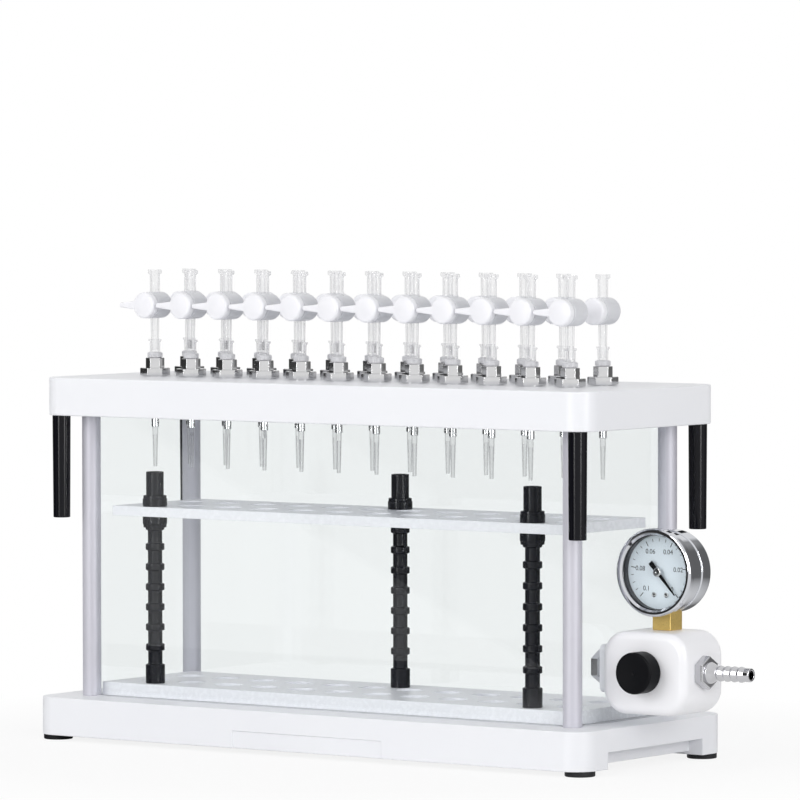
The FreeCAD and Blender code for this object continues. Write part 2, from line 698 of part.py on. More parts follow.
def gauge_pointer():
    """The pointer: hub, shaft, long tapered arm and short counterweight tail, at rest on zero."""
    centre = Vector(STEM_X, 0, GAUGE_CENTRE_Z)
    hub_front = POINTER_PLANE - POINTER_HUB_PROUD
    hub_back = POINTER_PLANE + POINTER_THICKNESS
    hub_length = hub_back - hub_front
    hub = barrel(POINTER_HUB_RADIUS, centre + ALONG_Y * hub_front, hub_length, ALONG_Y, POST_FLATS)
    shaft_end = DIAL_FRONT + DIAL_THICKNESS - POINTER_END_PLAY
    shaft = rod(POINTER_SHAFT_RADIUS, centre + ALONG_Y * hub_back, shaft_end - hub_back, ALONG_Y)
    rest_angle = math.radians(POINTER_REST_DEG)
    along = Vector(math.cos(rest_angle), 0, math.sin(rest_angle))
    across = Vector(-along.z, 0, along.x)
    plane = centre + ALONG_Y * POINTER_PLANE
    arm = prism(
        [
            plane + across * POINTER_TAIL_HALF - along * POINTER_TAIL,
            plane + across * POINTER_ROOT_HALF,
            plane + across * POINTER_TIP_HALF + along * POINTER_REACH,
            plane - across * POINTER_TIP_HALF + along * POINTER_REACH,
            plane - across * POINTER_ROOT_HALF,
            plane - across * POINTER_TAIL_HALF - along * POINTER_TAIL,
        ],
        ALONG_Y * POINTER_THICKNESS,
    )
    return [hub.fuse([shaft, arm])]


def save(node, solids):
    """Write one named piece, or one group of like pieces, as a STEP file."""
    shape = solids[0] if len(solids) == 1 else Part.makeCompound(solids)
    shape.exportStep(f"parts/{node}.step")


def main():
    """Build every piece and save it under its own name."""
    os.makedirs("parts", exist_ok=True)
    save("base_plate", base_plate())
    save("rubber_feet", rubber_feet())
    save("corner_posts", corner_posts())
    save("tank_seal", seal_strips(BASE_TOP + STRIP_PROUD))
    save("glass_front", long_pane(-1))
    save("glass_back", long_pane(1))
    save("glass_left", end_pane(-1))
    save("glass_right", end_pane(1))
    save("lid_plate", lid_plate())
    save("lid_seal", lid_seal())
    save("lid_legs", lid_legs())
    save("port_fittings", [port_fitting(x, y) for _, x, y in port_places()])
    save("guide_needles", [guide_needle(x, y) for _, x, y in port_places()])
    save("stopcock_bodies", [stopcock_body(x, y) for _, x, y in port_places()])
    for name, x, y in port_places():
        save(f"handle_{name}", [stopcock_handle(x, y)])
    save("rack_base", rack_base())
    for name, x, y in pole_places():
        save(f"rack_pole_{name}", [rack_pole(x, y)])
    save("rack_shelf", rack_shelf())
    save("shelf_clips", shelf_clips())
    save("vacuum_block", vacuum_block())
    save("vacuum_port", vacuum_port())
    save("port_nut", port_nut())
    save("regulator_knob", regulator_knob())
    save("hose_barb", hose_barb())
    save("gauge_stem", gauge_stem())
    save("gauge_case", gauge_case())
    save("gauge_bezel", gauge_bezel())
    save("gauge_window", gauge_window())
    save("gauge_dial", gauge_dial())
    save("gauge_pointer", gauge_pointer())


main()
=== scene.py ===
import logging
import math
from contextlib import contextmanager
from dataclasses import dataclass, field
from enum import Enum
from typing import Any, Callable, Iterator, Sequence

import bmesh
import bpy
from mathutils import Matrix, Quaternion, Vector


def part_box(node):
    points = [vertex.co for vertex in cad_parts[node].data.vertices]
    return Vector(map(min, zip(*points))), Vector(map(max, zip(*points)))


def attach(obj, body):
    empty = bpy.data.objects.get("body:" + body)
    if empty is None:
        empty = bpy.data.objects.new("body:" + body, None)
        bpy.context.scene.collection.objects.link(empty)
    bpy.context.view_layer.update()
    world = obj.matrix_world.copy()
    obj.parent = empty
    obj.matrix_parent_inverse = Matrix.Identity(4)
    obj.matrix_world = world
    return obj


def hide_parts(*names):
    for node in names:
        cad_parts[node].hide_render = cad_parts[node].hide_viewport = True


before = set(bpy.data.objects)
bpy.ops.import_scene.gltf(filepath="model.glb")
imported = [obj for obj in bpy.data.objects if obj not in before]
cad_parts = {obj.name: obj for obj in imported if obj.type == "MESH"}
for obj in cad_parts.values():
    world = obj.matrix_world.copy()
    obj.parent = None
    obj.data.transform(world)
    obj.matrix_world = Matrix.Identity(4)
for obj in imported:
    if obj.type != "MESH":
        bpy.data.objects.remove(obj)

# A bench-top vacuum manifold with twenty-four channels, dressed over its frame.
# Metres. X runs right along the front, Y to the back, Z up, as in the frame.

LOG = logging.getLogger("vacuum_manifold")
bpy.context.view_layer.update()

MM = 0.001
# Flats round a turned piece, and round a slim one
ROUND = 64
SLIM_ROUND = 32
# How far a cutting tool reaches past what it cuts
SPARE = 2 * MM

Profile = Sequence[tuple[float, float]]


class Axis(Enum):
    """The way that a turned or drawn-out piece points."""

    X = "x"
    Y = "y"
    Z = "z"

    @property
    def way(self) -> Vector:
        """The unit vector along this axis."""
        return Vector((self is Axis.X, self is Axis.Y, self is Axis.Z))

    @property
    def turn(self) -> tuple[float, float, float]:
        """The rotation that takes a level disc's upward face to this axis."""
        turns = {
            Axis.X: (0.0, math.pi / 2, 0.0),
            Axis.Y: (-math.pi / 2, 0.0, 0.0),
            Axis.Z: (0.0, 0.0, 0.0),
        }
        return turns[self]


def clear_selection() -> None:
    """Leave nothing selected, so that an operator acts on one piece only."""
    bpy.ops.object.select_all(action="DESELECT")


def choose(piece: bpy.types.Object) -> None:
    """Make a piece the only selected and the active one."""
    clear_selection()
    piece.select_set(True)
    bpy.context.view_layer.objects.active = piece


def settle(name: str) -> bpy.types.Object:
    """Name the primitive just added and apply its place to its mesh.

    Args:
        name: The piece's name.

    Returns:
        The piece, with its object at the origin.
    """
    piece = bpy.context.active_object
    piece.name = name
    piece.data.name = name
    bpy.ops.object.transform_apply(location=True, rotation=True, scale=True)
    return piece


@contextmanager
def editing(piece: bpy.types.Object, mode: str = "FACE") -> Iterator[None]:
    """Open a piece in edit mode with nothing selected, and close it again.

    Args:
        piece: The mesh to edit.
        mode: What is selected in it: VERT, EDGE or FACE.
    """
    choose(piece)
    bpy.ops.object.mode_set(mode="EDIT")
    bpy.ops.mesh.select_mode(type=mode)
    bpy.ops.mesh.select_all(action="DESELECT")
    try:
        yield
    finally:
        bpy.ops.object.mode_set(mode="OBJECT")


def pick_edges(piece: bpy.types.Object, test: Callable[[Vector, Vector], bool]) -> None:
    """Select the edges whose two ends pass a test, in edit mode.

    Args:
        piece: The mesh being edited.
        test: Takes the places of the edge's ends.
    """
    mesh = bmesh.from_edit_mesh(piece.data)
    for edge in mesh.edges:
        edge.select_set(test(edge.verts[0].co, edge.verts[1].co))
    bmesh.update_edit_mesh(piece.data)


def pick_faces(piece: bpy.types.Object, test: Callable[[Vector, Vector], bool]) -> None:
    """Select the faces whose centre and normal pass a test, in edit mode.

    Args:
        piece: The mesh being edited.
        test: Takes the face's centre and its normal.
    """
    mesh = bmesh.from_edit_mesh(piece.data)
    for face in mesh.faces:
        face.select_set(test(face.calc_center_median(), face.normal))
    bmesh.update_edit_mesh(piece.data)


def draw_ring_by_ring(profile: Profile, centre: Vector, axis: Axis) -> None:
    """Extrude what is selected along an axis and resize it at each step, in edit mode.

    Args:
        profile: Pairs of distance along the axis and radius, from the selected ring on.
        centre: The point that the distances start from.
        axis: The way of the extrusion.
    """
    along, radius = profile[0]
    for next_along, next_radius in profile[1:]:
        step = axis.way * (next_along - along)
        bpy.ops.mesh.extrude_region_move(TRANSFORM_OT_translate={"value": step})
        place = centre + axis.way * next_along
        if next_radius <= 0:
            bpy.ops.mesh.merge(type="CENTER")
            return
        share = next_radius / radius
        if abs(share - 1) > 1e-6:
            bpy.ops.transform.resize(value=(share, share, share), center_override=place)
        along, radius = next_along, next_radius


def turned(
    name: str, profile: Profile, centre: Vector, axis: Axis = Axis.Z, sides: int = ROUND, turn: float = 0.0
) -> bpy.types.Object:
    """Turn a closed solid: a filled disc that is drawn out ring by ring.

    Args:
        name: The piece's name.
        profile: Pairs of distance along the axis and radius; a last radius of 0 closes to a point.
        centre: The point that the distances start from.
        axis: The axis of the turning.
        sides: Number of flats round it.
        turn: Angle about an upright axis, in radians, for a bar with few flats.

    Returns:
        The solid, with outward faces.
    """
    clear_selection()
    start = centre + axis.way * profile[0][0]
    turn_euler = (axis.turn[0], axis.turn[1], turn) if axis is Axis.Z else axis.turn
    bpy.ops.mesh.primitive_circle_add(
        vertices=sides, radius=profile[0][1], fill_type="NGON", location=start, rotation=turn_euler
    )
    piece = settle(name)
    with editing(piece):
        bpy.ops.mesh.select_all(action="SELECT")
        draw_ring_by_ring(profile, centre, axis)
        bpy.ops.mesh.select_all(action="SELECT")
        bpy.ops.mesh.normals_make_consistent(inside=False)
    return piece


def turned_ring(
    name: str, profile: Profile, centre: Vector, axis: Axis = Axis.Z, sides: int = ROUND
) -> bpy.types.Object:
    """Turn a ring or a tube open at both ends.

    Args:
        name: The piece's name.
        profile: Its cross-section, as pairs of distance along the axis and radius.
        centre: The point that the distances start from.
        axis: The axis of the turning.
        sides: Number of flats round it.

    Returns:
        The ring, with outward faces.
    """
    clear_selection()
    start = centre + axis.way * profile[0][0]
    bpy.ops.mesh.primitive_circle_add(
        vertices=sides, radius=profile[0][1], fill_type="NOTHING", location=start, rotation=axis.turn
    )
    piece = settle(name)
    with editing(piece, "EDGE"):
        bpy.ops.mesh.select_all(action="SELECT")
        draw_ring_by_ring([*profile, profile[0]], centre, axis)
        bpy.ops.mesh.select_all(action="SELECT")
        bpy.ops.mesh.remove_doubles(threshold=1e-6)
        bpy.ops.mesh.normals_make_consistent(inside=False)
    return piece


def block(name: str, low: Vector, high: Vector) -> bpy.types.Object:
    """Add a square block between two corners.

    Args:
        name: The piece's name.
        low: Its lowest corner.
        high: Its highest corner.

    Returns:
        The block, to be shaped further.
    """
    clear_selection()
    low, high = Vector(low), Vector(high)
    bpy.ops.mesh.primitive_cube_add(size=1.0, location=(low + high) / 2, scale=high - low)
    return settle(name)


def round_edges(
    piece: bpy.types.Object, radius: float, segments: int, test: Callable[[Vector, Vector], bool]
) -> None:
    """Round the edges that pass a test.

    Args:
        piece: The mesh to shape.
        radius: The rounding's radius.
        segments: Number of strips over the rounding.
        test: Takes the places of an edge's ends.
    """
    with editing(piece, "EDGE"):
        pick_edges(piece, test)
        bpy.ops.mesh.bevel(offset=radius, segments=segments, affect="EDGES", clamp_overlap=False)


def along_axis(axis: Axis) -> Callable[[Vector, Vector], bool]:
    """A test that picks the edges that run along one axis."""
    return lambda a, b: abs((b - a).normalized().dot(axis.way)) > 0.999


def soften(piece: bpy.types.Object, width: float, segments: int = 3, angle: float = 35.0) -> bpy.types.Object:
    """Break the sharp edges of a piece and shade the rest smooth.

    Args:
        piece: The mesh to finish.
        width: The width of the broken edge.
        segments: Strips over it.
        angle: Edges sharper than this, in degrees, are broken.

    Returns:
        The same piece.
    """
    choose(piece)
    bpy.ops.object.modifier_add(type="BEVEL")
    bevel = piece.modifiers[-1]
    bevel.width = width
    bevel.segments = segments
    bevel.limit_method = "ANGLE"
    bevel.angle_limit = math.radians(angle)
    bevel.miter_outer = "MITER_ARC"
    bpy.ops.object.modifier_apply(modifier=bevel.name)
    shade(piece, 50.0)
    return piece


def shade(piece: bpy.types.Object, angle: float = 30.0) -> bpy.types.Object:
    """Shade a piece smooth up to an angle, with its large flat faces kept flat.

    Args:
        piece: The mesh to finish.
        angle: Edges sharper than this, in degrees, stay crisp.

    Returns:
        The same piece.
    """
    choose(piece)
    bpy.ops.object.shade_smooth_by_angle(angle=math.radians(angle))
    bpy.ops.object.modifier_add(type="WEIGHTED_NORMAL")
    weighted = piece.modifiers[-1]
    weighted.keep_sharp = True
    bpy.ops.object.modifier_apply(modifier=weighted.name)
    return piece


def combine(piece: bpy.types.Object, tool: bpy.types.Object, operation: str) -> bpy.types.Object:
    """Cut a tool out of a piece or weld it on, and use the tool up.

    Args:
        piece: The mesh to change.
        tool: The other solid.
        operation: DIFFERENCE or UNION.

    Returns:
        The changed piece.
    """
    choose(piece)
    bpy.ops.object.modifier_add(type="BOOLEAN")
    cut = piece.modifiers[-1]
    cut.operation = operation
    cut.solver = "EXACT"
    cut.object = tool
    bpy.ops.object.modifier_apply(modifier=cut.name)
    bpy.data.objects.remove(tool)
    return piece


def copied(piece: bpy.types.Object, name: str, shift: Vector) -> bpy.types.Object:
    """Copy a finished piece to another place, with a mesh of its own.

    Args:
        piece: The piece to copy.
        name: The copy's name.
        shift: How far the copy is moved.

    Returns:
        The copy.
    """
    copy = piece.copy()
    copy.data = piece.data.copy()
    copy.name = name
    copy.data.name = name
    copy.data.transform(Matrix.Translation(shift))
    bpy.context.scene.collection.objects.link(copy)
    return copy


def joined(pieces: Sequence[bpy.types.Object], name: str) -> bpy.types.Object:
    """Join like pieces into one object.

    Args:
        pieces: The pieces; the first takes the rest.
        name: The name of the whole.

    Returns:
        The joined piece.
    """
    choose(pieces[0])
    for piece in pieces[1:]:
        piece.select_set(True)
    if len(pieces) > 1:
        bpy.ops.object.join()
    pieces[0].name = name
    pieces[0].data.name = name
    return pieces[0]


def spread(pattern: bpy.types.Object, name: str, shifts: Sequence[Vector]) -> bpy.types.Object:
    """Repeat a pattern piece at many places and join the copies; the pattern is used up.

    Args:
        pattern: The piece to repeat, modelled about the frame's origin.
        name: The name of the group.
        shifts: Where the copies go.

    Returns:
        The group as one object.
    """
    copies = [copied(pattern, f"{name}_{index}", Vector(shift)) for index, shift in enumerate(shifts)]
    bpy.data.objects.remove(pattern)
    return joined(copies, name)


def leave_lugs(
    piece: bpy.types.Object, stem_radius: float, lip_radius: float, half_width: float, low: float, high: float
) -> None:
    """Cut a round lip down at front and back, so that two lugs are left on its stem.

    Args:
        piece: The lipped piece, modelled about the frame's origin.
        stem_radius: The stem's radius, which stays whole.
        lip_radius: The lip's radius.
        half_width: Half the width of a lug.
        low: Lower end of the cut.
        high: Upper end of the cut.
    """
    reach = 2 * lip_radius
    for side in (-1, 1):
        near, far = sorted((side * half_width, side * reach))
        band = block("lug_band", Vector((-reach, near, low)), Vector((reach, far, high)))
        stem = turned(
            "lug_stem",
            [(low - SPARE, stem_radius), (high + SPARE, stem_radius)],
            Vector((0, 0, 0)),
            sides=SLIM_ROUND,
        )
        combine(band, stem, "DIFFERENCE")
        combine(piece, band, "DIFFERENCE")


def arc(
    along: float, radius: float, bend: float, start: float, end: float, steps: int = 5
) -> list[tuple[float, float]]:
    """Points of a round stretch of a profile.

    Args:
        along: The arc's centre, along the axis.
        radius: The arc's centre, out from the axis.
        bend: The arc's own radius.
        start: First angle in degrees; 0 points along the axis, 90 outwards.
        end: Last angle in degrees.
        steps: Number of spans.

    Returns:
        Pairs of distance along the axis and radius.
    """
    points = []
    for index in range(steps + 1):
        angle = math.radians(start + (end - start) * index / steps)
        points.append((along + bend * math.cos(angle), radius + bend * math.sin(angle)))
    return points


def linear(hex_colour: str) -> tuple[float, float, float, float]:
    """Turn a sRGB hex colour to the linear one that the shaders take."""
    channels = [int(hex_colour[start:start + 2], 16) / 255 for start in (1, 3, 5)]
    red, green, blue = [c / 12.92 if c <= 0.04045 else ((c + 0.055) / 1.055) ** 2.4 for c in channels]
    return (red, green, blue, 1.0)


def add_node(tree: bpy.types.NodeTree, kind: str, settings: dict[Any, Any]) -> bpy.types.Node:
    """Add one node with its settings and links.

    Args:
        tree: The material's or world's node tree.
        kind: The node's type, without its ShaderNode prefix.
        settings: By socket name, socket number or property name: a value, or an output to link.

    Returns:
        The node.
    """
    node = tree.nodes.new(f"ShaderNode{kind}")
    for key, value in settings.items():
        if not isinstance(key, int) and key not in node.inputs:
            setattr(node, key, value)
        elif isinstance(value, bpy.types.NodeSocket):
            tree.links.new(value, node.inputs[key])
        else:
            node.inputs[key].default_value = value
    return node


def mixed(
    tree: bpy.types.NodeTree, share: bpy.types.NodeSocket, first: Any, second: Any
) -> bpy.types.NodeSocket:
    """Mix two colours.

    Args:
        tree: The node tree.
        share: How much of the second colour is taken.
        first: A colour, or an output that gives one.
        second: The other colour, or its output.

    Returns:
        The output with the mixed colour.
    """
    return add_node(tree, "Mix", {"data_type": "RGBA", 0: share, 6: first, 7: second}).outputs[2]


def ranged(
    tree: bpy.types.NodeTree,
    value: bpy.types.NodeSocket,
    to: tuple[float, float],
    start: tuple[float, float] = (0.0, 1.0),
    kind: str = "LINEAR",
) -> bpy.types.NodeSocket:
    """Take a value from one range to another.

    Args:
        tree: The node tree.
        value: The output with the value.
        to: The range that it goes to.
        start: The range that it comes from.
        kind: How it runs between the ends.

    Returns:
        The output with the new value.
    """
    settings = {"interpolation_type": kind, "Value": value, "From Min": start[0], "From Max": start[1]}
    settings |= {"To Min": to[0], "To Max": to[1]}
    return add_node(tree, "MapRange", settings).outputs["Result"]


def noise(
    tree: bpy.types.NodeTree, coordinates: bpy.types.NodeSocket, size_mm: float, detail: float = 2.0
) -> bpy.types.NodeSocket:
    """Add soft random patches.

    Args:
        tree: The node tree.
        coordinates: Where on the piece they are looked up.
        size_mm: The size of a patch.
        detail: How many finer layers it has.

    Returns:
        The output with the patches, from 0 to 1.
    """
    settings = {"Vector": coordinates, "Scale": 1 / (size_mm * MM), "Detail": detail}
    return add_node(tree, "TexNoise", settings).outputs["Fac"]


def maths(tree: bpy.types.NodeTree, operation: str, first: Any, second: Any) -> bpy.types.NodeSocket:
    """Work out one operation on two numbers or outputs."""
    return add_node(tree, "Math", {"operation": operation, 0: first, 1: second}).outputs[0]


def either_ray(tree: bpy.types.NodeTree, first: str, second: str) -> bpy.types.NodeSocket:
    """1 for the rays of two kinds, by their names in Light Path."""
    path = add_node(tree, "LightPath", {})
    return maths(tree, "MAXIMUM", path.outputs[first], path.outputs[second])


def between(
    tree: bpy.types.NodeTree, share: bpy.types.NodeSocket, first: bpy.types.Node, second: bpy.types.Node
) -> bpy.types.Node:
    """Mix two shaders.

    Args:
        tree: The node tree.
        share: How much of the second shader is taken.
        first: The first shader.
        second: The second shader.

    Returns:
        The mixing node.
    """
    return add_node(tree, "MixShader", {0: share, 1: first.outputs[0], 2: second.outputs[0]})


def blank_tree(name: str) -> tuple[bpy.types.Material, bpy.types.NodeTree]:
    """Start a material with an empty node tree."""
    material = bpy.data.materials.new(name)
    material.use_nodes = True
    material.node_tree.nodes.clear()
    return material, material.node_tree


class Grain(Enum):
    """How a surface was made, which gives the stretch of its grain along X, Y and Z."""

    MOULDED = (1.0, 1.0, 1.0)
    DRAWN_UP = (1.0, 1.0, 0.02)
    TURNED_ABOUT_Y = (0.02, 1.0, 0.02)
    TURNED_ABOUT_X = (1.0, 0.02, 0.02)


@dataclass(frozen=True)
class Finish:
    """An opaque finish: its colours, gloss and grain, all in real sizes.

    The colour drifts between two close tones in soft patches. The grain is a fine relief whose
    crests are also a little glossier.
    """

    name: str
    slot_name: str
    tones: tuple[str, str]
    patch_mm: float
    roughness: tuple[float, float]
    grain_mm: float
    relief_mm: float
    grain: Grain = Grain.MOULDED
    metallic: float = 0.0
    ior: float = 1.5
    specular: float = 0.5
    subsurface: float = 0.0
    scatter_mm: float = 1.0

    def material(self) -> bpy.types.Material:
        """Make the material, or give the one already made."""
        known = bpy.data.materials.get(self.name)
        if known:
            return known
        material, tree = blank_tree(self.name)
        coordinates = add_node(tree, "TexCoord", {}).outputs["Object"]
        patches = noise(tree, coordinates, self.patch_mm)
        stretched = add_node(tree, "Mapping", {"Vector": coordinates, "Scale": self.grain.value})
        grain = noise(tree, stretched.outputs["Vector"], self.grain_mm, 4.0)
        relief = add_node(tree, "Bump", {"Height": grain, "Distance": self.relief_mm * MM, "Strength": 1.0})
        shader = add_node(
            tree,
            "BsdfPrincipled",
            {
                "Base Color": mixed(tree, patches, linear(self.tones[0]), linear(self.tones[1])),
                "Roughness": ranged(tree, grain, self.roughness, (0.3, 0.7)),
                "Normal": relief.outputs["Normal"],
                "Metallic": self.metallic,
                "IOR": self.ior,
                "Specular IOR Level": self.specular,
                "Subsurface Weight": self.subsurface,
                "Subsurface Scale": self.scatter_mm * MM,
                "Subsurface Radius": (1.0, 1.0, 1.0),
            },
        )
        add_node(tree, "OutputMaterial", {"Surface": shader.outputs["BSDF"]})
        return material


@dataclass(frozen=True)
class ClearFinish:
    """A see-through finish: clear where it faces the eye, more of its own surface towards its edges.

    Lamps and the light of the room pass straight through it, so that it throws no dark shadow.
    """

    name: str
    slot_name: str
    tint: str
    surface: str
    share: tuple[float, float]
    fall: float
    roughness: tuple[float, float]
    ripple_mm: float
    metallic: float = 0.0
    ior: float = 1.0

    def material(self) -> bpy.types.Material:
        """Make the material, or give the one already made."""
        known = bpy.data.materials.get(self.name)
        if known:
            return known
        material, tree = blank_tree(self.name)
        coordinates = add_node(tree, "TexCoord", {}).outputs["Object"]
        gloss = ranged(tree, noise(tree, coordinates, self.ripple_mm), self.roughness)
        surface = {"Base Color": linear(self.surface), "Roughness": gloss, "Metallic": self.metallic}
        skin = add_node(tree, "BsdfPrincipled", surface)
        open_way = add_node(tree, "BsdfTransparent", {"Color": linear(self.tint)})
        inside = open_way
        if self.ior > 1.0:
            clear = {"Base Color": linear(self.tint), "Roughness": 0.0, "IOR": self.ior}
            inside = add_node(tree, "BsdfPrincipled", clear | {"Transmission Weight": 1.0})
        edge_on = add_node(tree, "LayerWeight", {"Blend": 0.5}).outputs["Facing"]
        share = ranged(tree, maths(tree, "POWER", edge_on, self.fall), self.share)
        seen = between(tree, share, inside, skin)
        light = either_ray(tree, "Is Shadow Ray", "Is Diffuse Ray")
        shader = between(tree, light, seen, open_way)
        add_node(tree, "OutputMaterial", {"Surface": shader.outputs["Shader"]})
        return material


# Milled polypropylene plate: even off-white with a cool cast, satin, light sinks in a little
POLYPROPYLENE = Finish(
    "milled_polypropylene", "white_plastic", ("#EDEEF3", "#F1F2F5"), 90.0, (0.34, 0.42), 1.2, 0.001,
    specular=0.4, subsurface=0.1, scatter_mm=2.0,
)
# Polypropylene block: the same stock, a touch whiter, polished soft
POLISHED_POLYPROPYLENE = Finish(
    "polished_polypropylene", "white_plastic", ("#F4F4F8", "#F7F7FA"), 60.0, (0.28, 0.34), 1.5, 0.001,
    specular=0.45, subsurface=0.15, scatter_mm=3.0,
)
# Laser-cut acrylic rack plates: whiter than the slabs at their cut edges, smooth
WHITE_ACRYLIC = Finish(
    "white_acrylic", "white_plastic", ("#F4F4FA", "#F8F8FC"), 80.0, (0.24, 0.30), 3.0, 0.0004,
    subsurface=0.1, scatter_mm=2.0,
)
# Upward faces of the rack plates: a darker copy of the acrylic, off-white with a lilac cast, smooth; the
# darker tone is painted shade on the tops
SHADED_TOP_ACRYLIC = Finish(
    "acrylic_top_painted_shade", "white_plastic", ("#ECECF1", "#F0F0F4"), 60.0, (0.30, 0.38), 3.0, 0.0004,
    specular=0.3,
)
# Satin anodised aluminium posts: grey with a lilac cast, faint drawn lines along them
ANODISED_ALUMINIUM = Finish(
    "satin_anodised_aluminium", "aluminium", ("#C4C3CC", "#CBCAD3"), 30.0, (0.42, 0.50), 3.0, 0.0004,
    grain=Grain.DRAWN_UP, metallic=0.12,
)
# Turned black acetal: deep black with a high gloss, so that a lamp draws a thin line down it
BLACK_ACETAL = Finish(
    "turned_black_acetal", "black_plastic", ("#09090F", "#0D0D14"), 20.0, (0.15, 0.17), 6.0, 0.0,
    specular=0.2,
)
# Moulded black nylon of the notched poles: a little greyer, the same thin highlights
BLACK_NYLON = Finish(
    "moulded_black_nylon", "black_plastic", ("#0F1017", "#15161E"), 12.0, (0.19, 0.23), 5.0, 0.0,
    specular=0.25,
)
# Knob moulding: matt black face
BLACK_KNOB = Finish(
    "moulded_black_knob", "black_plastic", ("#05060A", "#0A0B0F"), 15.0, (0.40, 0.50), 0.6, 0.001,
    grain=Grain.TURNED_ABOUT_Y, specular=0.1,
)
# Black nitrile rubber of the feet: matt, slightly dusty
NITRILE_RUBBER = Finish(
    "black_nitrile_rubber", "black_rubber", ("#101014", "#1B1B20"), 6.0, (0.55, 0.75), 0.5, 0.02,
    specular=0.3,
)
# Translucent silicone of the seals: pale grey, dull
SILICONE = Finish(
    "pale_silicone", "silicone", ("#C6C7CC", "#D2D3D8"), 20.0, (0.50, 0.62), 1.0, 0.006,
    subsurface=0.2, scatter_mm=1.5,
)
# Nickel-plated brass of the bulkhead fittings: mirror-like, faint turning lines
NICKEL_PLATE = Finish(
    "nickel_plated_brass", "chrome", ("#D6D6D7", "#DFDFE0"), 6.0, (0.07, 0.12), 0.5, 0.0004,
    metallic=1.0,
)
# Nickel plate turned about X, for the hose tail
TURNED_NICKEL = Finish(
    "turned_nickel_plate", "chrome", ("#BDBDC0", "#D2D2D5"), 6.0, (0.07, 0.14), 0.4, 0.0006,
    grain=Grain.TURNED_ABOUT_X, metallic=1.0,
)
# Chromed steel of the gauge case and bezel: bright, very smooth
CHROMED_STEEL = Finish(
    "chromed_steel", "chrome", ("#CFD1D6", "#D8DADF"), 12.0, (0.04, 0.07), 0.6, 0.0003,
    grain=Grain.TURNED_ABOUT_Y, metallic=1.0,
)
# Black ring between the gauge's glass and its dial: a dark ring put where the bezel casts shade, so painted
# shade
BEZEL_SHADE_BLACK = Finish(
    "black_painted_shade_ring", "black_plastic", ("#121318", "#1A1B20"), 8.0, (0.30, 0.40), 0.6, 0.0004,
    specular=0.4,
)
# Bare brass of the gauge stem: milled flats, warm yellow
BRASS = Finish(
    "milled_brass", "brass", ("#D6B668", "#E2C67A"), 3.0, (0.26, 0.36), 0.5, 0.002,
    metallic=0.6,
)
# Natural polyethylene of the stopcock's handle: milky white, waxy
MILKY_POLYETHYLENE = Finish(
    "milky_polyethylene", "valve_plastic", ("#F0F0F5", "#F4F4F8"), 8.0, (0.32, 0.40), 0.9, 0.001,
    subsurface=0.3, scatter_mm=2.0,
)
# The drum behind the handle: the same stock as the handle, painted greyer to stand for the shade that it lies
# in
SHADED_POLYETHYLENE = Finish(
    "polyethylene_painted_shade", "valve_plastic", ("#D6D7DC", "#DEDFE3"), 8.0, (0.30, 0.38), 0.9, 0.001,
    subsurface=0.1, scatter_mm=2.0,
)
# Enamelled aluminium dial: pale with a blue cast, nearly matt
DIAL_ENAMEL = Finish(
    "enamelled_dial", "dial_print", ("#E9F3FC", "#EEF6FD"), 25.0, (0.45, 0.55), 0.6, 0.0005,
)
# Printing ink on the dial
DIAL_INK = Finish(
    "black_dial_ink", "dial_print", ("#14161C", "#1F2229"), 2.0, (0.45, 0.60), 0.2, 0.0005,
    specular=0.3,
)
# Frosted polypropylene of the knurled luer ring: grey and grainy
FROSTED_RING = Finish(
    "frosted_luer_ring", "clear_plastic", ("#BDBDC0", "#E4E4E7"), 0.8, (0.30, 0.50), 0.5, 0.02,
    subsurface=0.2, scatter_mm=1.0,
)
# Float glass panes: clear and neutral, with the plain mirror image of a polished face
FLOAT_GLASS = ClearFinish(
    "float_glass", "glass", "#FEFFFF", "#FFFFFF", (0.044, 1.0), 5.0, (0.0, 0.01), 120.0, metallic=1.0
)
# Clear polycarbonate of the luer barrels: nearly clear, with soft grey outlines
CLEAR_POLYCARBONATE = ClearFinish(
    "clear_polycarbonate", "clear_plastic", "#FEFEFE", "#E2E2E5", (0.06, 0.95), 2.4, (0.10, 0.18), 4.0,
    ior=1.02,
)
# Clear polypropylene needles: thin-walled, hardly seen but for their edges
CLEAR_NEEDLE = ClearFinish(
    "clear_needle_plastic", "clear_plastic", "#FDFDFD", "#B4B4B8", (0.05, 0.90), 2.0, (0.10, 0.18), 4.0,
    ior=1.02,
)
# Gauge window: flat mineral glass
GAUGE_GLASS = ClearFinish(
    "gauge_glass", "window_glass", "#FEFFFF", "#FFFFFF", (0.04, 1.0), 5.0, (0.0, 0.01), 40.0, metallic=1.0
)


def hand_over(
    piece: bpy.types.Object, finish: "Finish | ClearFinish", body: str, *stands_for: str
) -> bpy.types.Object:
    """Dress a finished piece and hand it to the body that carries it.

    Args:
        piece: The finished mesh.
        finish: What it is made of.
        body: The body that it moves with.
        stands_for: The frame's nodes that it replaces.

    Returns:
        The same piece.
    """
    piece.data.materials.clear()
    piece.data.materials.append(finish.material())
    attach(piece, body)
    if stands_for:
        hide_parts(*stands_for)
    LOG.info("%s: %d faces, rides on %s", piece.name, len(piece.data.polygons), body)
    return piece


def face_over(piece: bpy.types.Object, finish: Finish, low: float) -> None:
    """Give the upward faces of a piece a second finish.

    Args:
        piece: A piece that already has its first finish.
        finish: The second finish that its upward faces take, here a darker one as painted shade.
        low: Only faces above this height take it.
    """
    piece.data.materials.append(finish.material())
    for face in piece.data.polygons:
        if face.normal.z > 0.9 and face.center.z > low:
            face.material_index = 1


def dress_node(node: str, finish: "Finish | ClearFinish") -> None:
    """Give a node of the frame that stays in sight its finish.

    Args:
        node: The node's name.
        finish: What it is made of.
    """
    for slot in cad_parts[node].material_slots:
        slot.material = finish.material()
    LOG.info("%s keeps its shape and takes %s", node, finish.name)


@dataclass(frozen=True)
class Channel:
    """One of the twenty-four channels: its name and its place on the lid."""

    name: str
    x: float
    y: float


